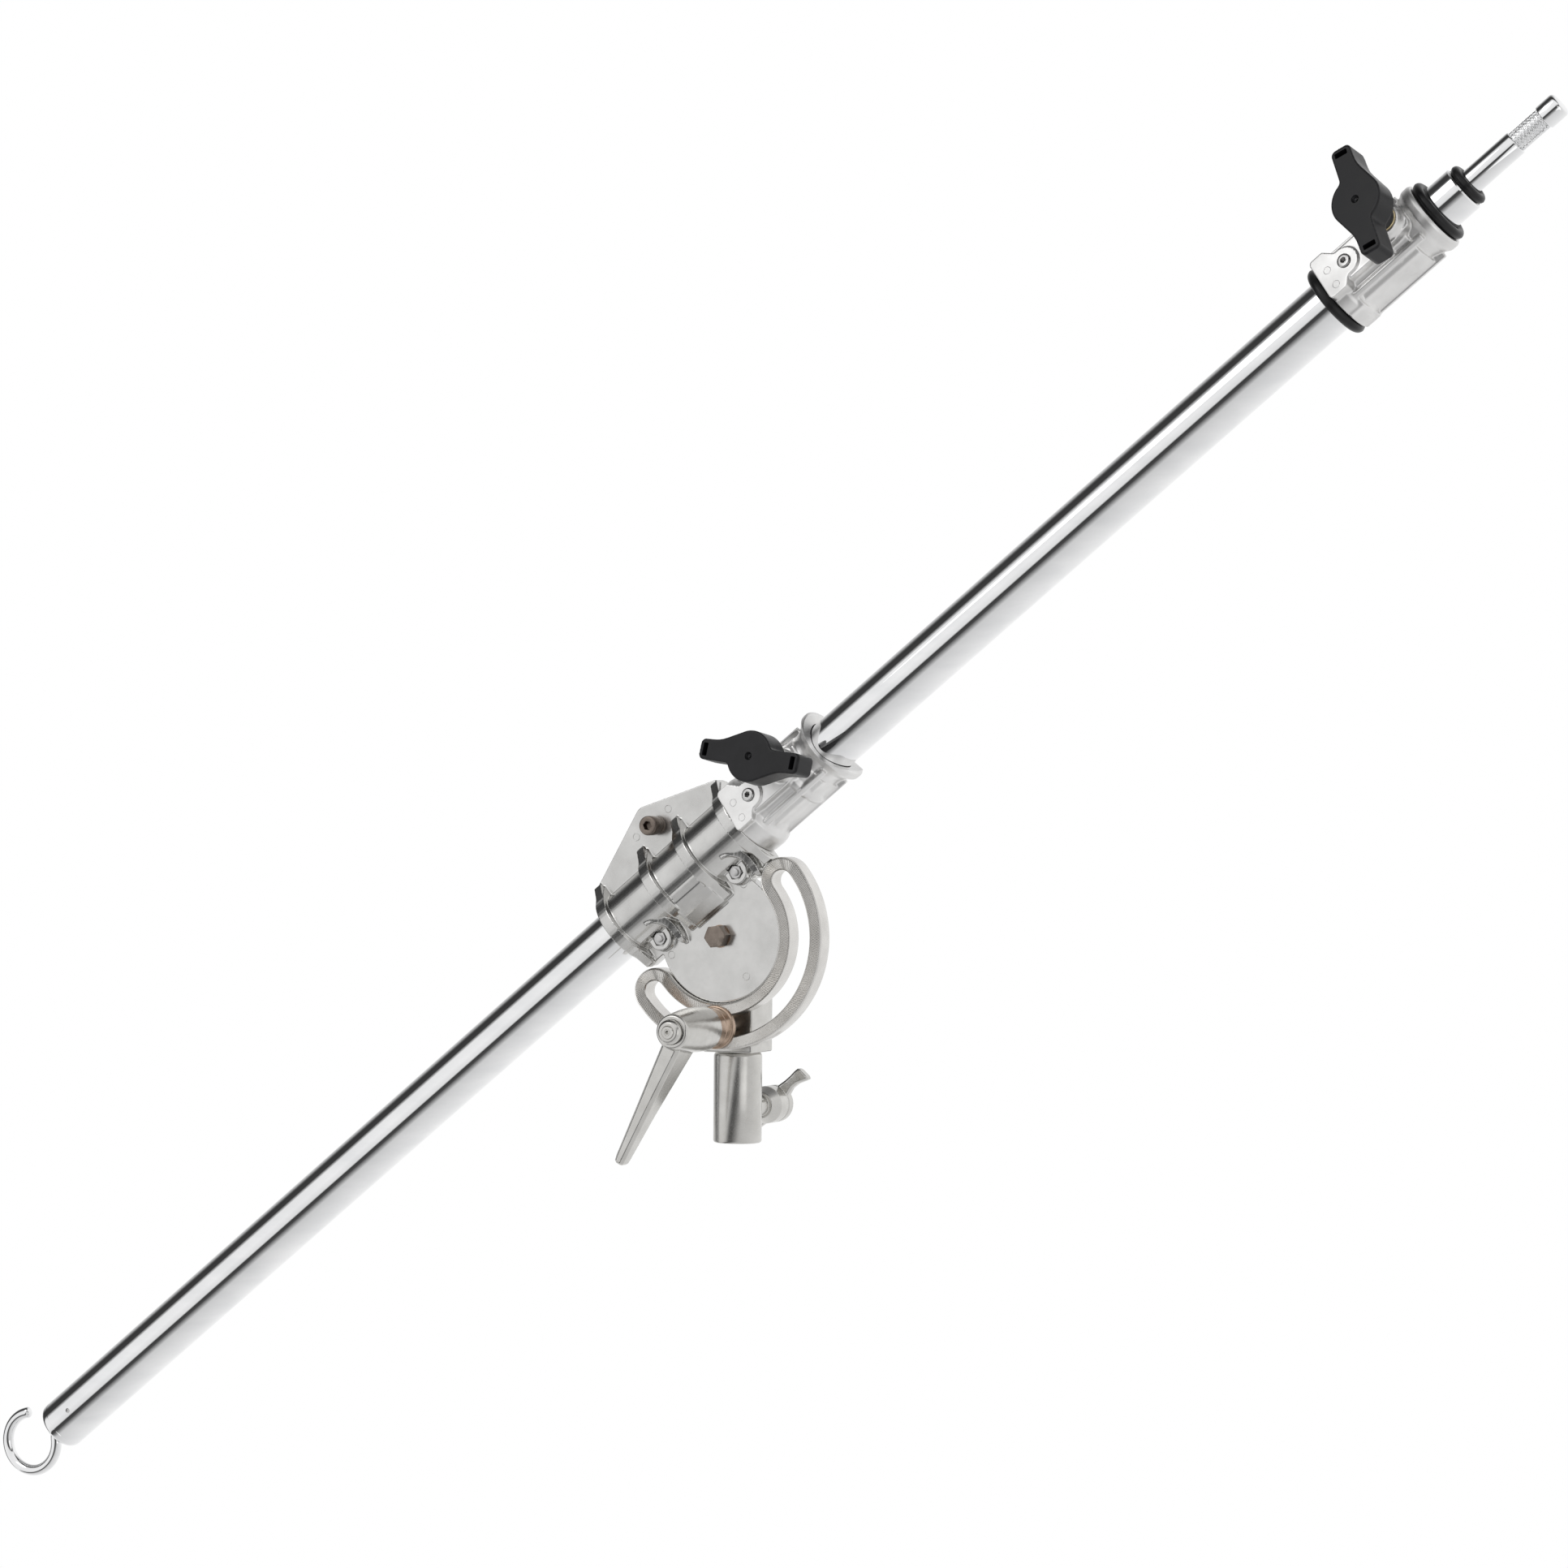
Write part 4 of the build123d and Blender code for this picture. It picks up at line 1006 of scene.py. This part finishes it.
# ======== T-knobs
def make_knob_grip(name, at, body, node):
    """S-shaped two-winged grip on a waisted hub, with a slot near each wing's end."""
    half, end, hub_r, top = 38.6, 6.7, 16.8, 63.9
    right = [(hub_r * cos(radians(a)), hub_r * sin(radians(a)), 0) for a in range(112, 27, -6)]
    right += [(16.4, end - 0.3, 4), (half, end, 3.4), (half, -end, 3.4), (24, -end - 0.7, 25)]
    outline = rounded(right + [(-x, -y, r) for x, y, r in right])
    inset = [p * 0.975 for p in outline]
    hub = [(0, 32), (8.4, 32), (8.8, 33), (9.2, 38), (10.4, 42), (14.0, 46), (15.6, 50), (15.9, 63.2),
           (15.5, top), (0, top)]
    piece = solid(name, block(at, outline, 47, 63.2), block(at, inset, 45.6, top), turning(at, hub))
    melt(piece, 0.4, 5)
    slots = [box_outline(side * (half - 4.6), 0, 3.6, 8.6, 0.7) for side in (1, -1)]
    dimple = [(0, 62.2), (1.4, 62.2), (2.6, 63.6), (3.0, 66), (0, 66)]
    combine(piece, "DIFFERENCE", *(block(at, slot, 52, 70) for slot in slots))
    cut(piece, turning(at, dimple, 48), cylinder(at, 4.05, 20, 56))
    thin_out(piece, 0.5)
    finish_piece(piece, HEAD, body, "black_plastic", (node,), sharp=38)
    pip = solid(name + "_pip", turning(at, [(0, 61.5), (1.0, 61.5), (1.0, 62.7), (0.7, 63.0), (0, 63.0)], 32))
    finish_piece(pip, HEAD, body, "black_plastic")


def make_knob_screw(name, at, body, washer_node, screw_node):
    """Brass washer under the grip, and the threaded screw inside it."""
    washer = [(4.05, 30.7), (8.2, 30.7), (8.5, 30.9), (8.5, 31.7), (8.2, 31.9), (4.05, 31.9)]
    turned(name + "_brass_washer", HEAD, at, washer, body, "brass", (washer_node,), 72)
    crest, root_r, pitch = 4.0, 3.45, 1.25
    stem = [(0, 22), (3.2, 22), (crest, 22.8)]
    height = 22.8
    while height < 54:
        stem += [(crest, height + 0.35), (root_r, height + 0.6), (root_r, height + 0.75),
                 (crest, height + 1.0)]
        height += pitch
    stem += [(crest, 55.8), (0, 55.8)]
    turned(name + "_stem", HEAD, at, stem, body, "brass", (screw_node,), 48)


for knob, node_name, knob_at, knob_spin, wings_at, grip in (
        ("lower_t_knob", "lower_knob", LOWER_SCREW, LOWER_SPIN, LOWER_WINGS, "lower_grip"),
        ("top_t_knob", "top_knob", TOP_SCREW, TOP_SPIN, TOP_WINGS, "top_grip")):
    knob_frame = facing(knob_at, knob_spin) @ spun(wings_at)
    make_knob_grip(knob, knob_frame, grip, node_name)
    make_knob_screw(knob, knob_frame, grip, node_name + "_washer", node_name + "_screw")


# ======== clamp lever
def bevelled(low_u, high_u, low_v, high_v, edge):
    """Corners of a box section whose four edges are bevelled, as (u, v) pairs round it."""
    return [(low_u + edge, low_v), (high_u - edge, low_v), (high_u, low_v + edge), (high_u, high_v - edge),
            (high_u - edge, high_v), (low_u + edge, high_v), (low_u, high_v - edge), (low_u, low_v + edge)]


def make_lever():
    """Turned barrel hub with a long tapered arm that has flat, bevelled faces."""
    hub = [(0, 20.2), (13.7, 20.2), (14.5, 20.9), (14.6, 22), (14.75, 27), (14.65, 33), (14.25, 40),
           (13.55, 47), (12.7, 54), (11.9, 60), (11.45, 63.2), (10.9, 64.5), (10.0, 65.0), (0, 65.0)]
    arm = ((4, 13.6, 30.5, 57.2), (12, 13.2, 31.5, 57.3), (26, 12.2, 34.5, 57.5), (60, 9.6, 41.5, 57.9),
           (92, 7.2, 46.2, 58.1), (95.6, 6.6, 46.9, 57.6), (97, 4.8, 48.2, 56.4))    # reach, width, low, high
    lean = radians(26)
    along = placed((0, 0, 0), Z, Vector((-sin(lean), -cos(lean), 0)))    # x forward, z down the arm
    sections = []
    for distance, width, low, high in arm:
        corners = bevelled(low, high, -width / 2, width / 2, min(2.2, width * 0.26))
        sections.append([(u, v, distance) for u, v in corners])
    piece = solid("ratchet_lever", turning(ROOT, hub, 128), lambda bm: loft(bm, along, sections))
    melt(piece, 0.38, 3)
    bore = [(0, 10), (9.1, 10), (9.1, 51), (3.4, 51), (3.4, 54), (8.3, 54), (8.3, 66.5), (0, 66.5)]
    cut(piece, turning(ROOT, bore))
    thin_out(piece, 0.5)
    finish_piece(piece, STUD, "lever", "nickel", ("clamp_lever",), sharp=42)


def make_lever_fittings():
    """Cap screw on the stud's end, and the flanged bush that the lever presses on the sector."""
    cap = [(0, 45.3), (2.9, 45.3), (2.9, 63.2), (7.7, 63.2), (8, 63.6), (8, 68.2), (7.7, 68.8), (6.5, 69.9),
           (6.0, 70.1), (4.5, 70.1), (4.35, 69.9), (4.2, 70.1), (4.1, 70.7), (3.8, 71.0), (2.2, 71.0),
           (2.05, 70.8), (1.9, 71.0), (0, 71.0)]
    piece = solid("lever_cap_screw", turning(ROOT, cap))
    cut(piece, block(ROOT, polygon(6, 2.5), 68.8, 72))
    finish_piece(piece, STUD, "lever_hub", "nickel", ("lever_cap",))
    bush = [(5.09, 0.2), (13.8, 0.2), (14.2, 0.6), (14.2, 3.4), (13.8, 3.8), (13.2, 4.0), (12.8, 4.6),
            (12.8, 10.0), (12.5, 10.3), (12.5, 10.8), (12.8, 11.1), (12.8, 19.3), (12.4, 19.8), (5.09, 19.8)]
    turned("flanged_bush", STUD, ROOT, bush, "clamp", "bronze", ("clamp_bush",))


def make_lever_spring():
    """Coil between the lever's web and the cap."""
    turns, coil_r, wire_r, low, high = 3.5, 5.4, 0.6, 54.8, 62.4
    steps, round_steps, pulled = 98, 14, 0.42
    sections = []
    for k in range(steps + 1):
        a = 2 * pi * turns * k / steps
        out = Vector((cos(a), sin(a), 0))
        centre = out * coil_r + Z * (low + (high - low) * k / steps)
        sections.append([centre + (out * cos(b) + Z * sin(b)) * wire_r
                         for b in (2 * pi * n / round_steps for n in range(round_steps))])
    piece = solid("lever_return_spring", lambda bm: loft(bm, ROOT, sections))
    finish_piece(piece, STUD, "lever_hub", "zinc_steel", ("lever_spring",), sharp=60)
    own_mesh(piece)


make_lever()
make_lever_fittings()
make_lever_spring()


# ======== stand socket, block and wing screw
def make_socket():
    outline = [(0, 52), (8.1, 52), (8.1, 0.05), (8.3, 0.0), (14.6, 0.0), (15.5, 0.4), (16, 1.4), (16, 57.2),
               (15.7, 58.4), (14.9, 59.4), (13.9, 60), (11, 60), (11, 70), (0, 70)]
    piece = solid("spigot_socket", turning(ROOT, outline, 144))
    cut(piece, cylinder(WING, 5.08, 5, 30, 64))
    finish_piece(piece, ROOT, "root", "nickel", ("stand_socket",))


def make_block():
    """Upright block on the socket, rounded over the pivot."""
    front, back, bottom, half = -16.8, 15.0, 60.0, 18.0
    at = placed((0, 0, PIVOT.z), X, FRONT)
    shape = [Vector((side * half, bottom - PIVOT.z)) for side in (-1, 1)] + arc((0, 0), half, 0, 180, 40)
    piece = solid("swivel_block", block(at, shape, -back, -front))
    soften_edges(piece, 1.3, 4, 40)
    cut(piece, cylinder(ROOT, 11.05, 50, 70, 64), cylinder(at, 5.02, -40, 40, 64),
        cylinder(STUD, 5.02, -27.2, 2, 64))
    finish_piece(piece, ROOT, "root", "nickel", ("pivot_block",))


def make_wing_screw():
    """Turned drum with two curved wings."""
    drum = [(0, 10.9), (5, 10.9), (5, 18.5), (6.6, 18.5), (6.6, 33.6), (8.6, 34), (12.0, 40.6), (12.5, 41.6),
            (12.5, 51.4), (11.9, 52.2), (11.9, 53), (12.5, 53.6), (12.5, 59), (11.6, 60.8), (9.5, 62),
            (0, 62)]
    wing = ((7, 0.0, 11.5, 50.6, 58.4), (12.5, -0.3, 9.6, 50.8, 58.2), (18, -0.2, 7.4, 51.2, 57.8),
            (23, 0.6, 7.6, 51.0, 58.0), (27.5, 1.9, 9.6, 50.6, 58.4), (30.6, 2.8, 10.4, 50.8, 58.2),
            (31.5, 3.0, 8.6, 51.6, 57.4))           # reach, sway, width, low, high
    sections = []
    for reach, sway, width, low, high in wing:
        corners = bevelled(low, high, sway - width / 2, sway + width / 2, 1.4)
        sections.append([(reach, v, u) for u, v in corners])

    def wings(bm):
        for side in (0, pi):
            loft(bm, spun(side - radians(48)), sections)
    piece = solid("wing_clamp_screw", turning(ROOT, drum), wings)
    melt(piece, 0.36, 3)
    thin_out(piece, 0.5)
    finish_piece(piece, WING, "wing", "nickel", ("wing_screw",), sharp=60)


make_socket()
make_block()
make_wing_screw()
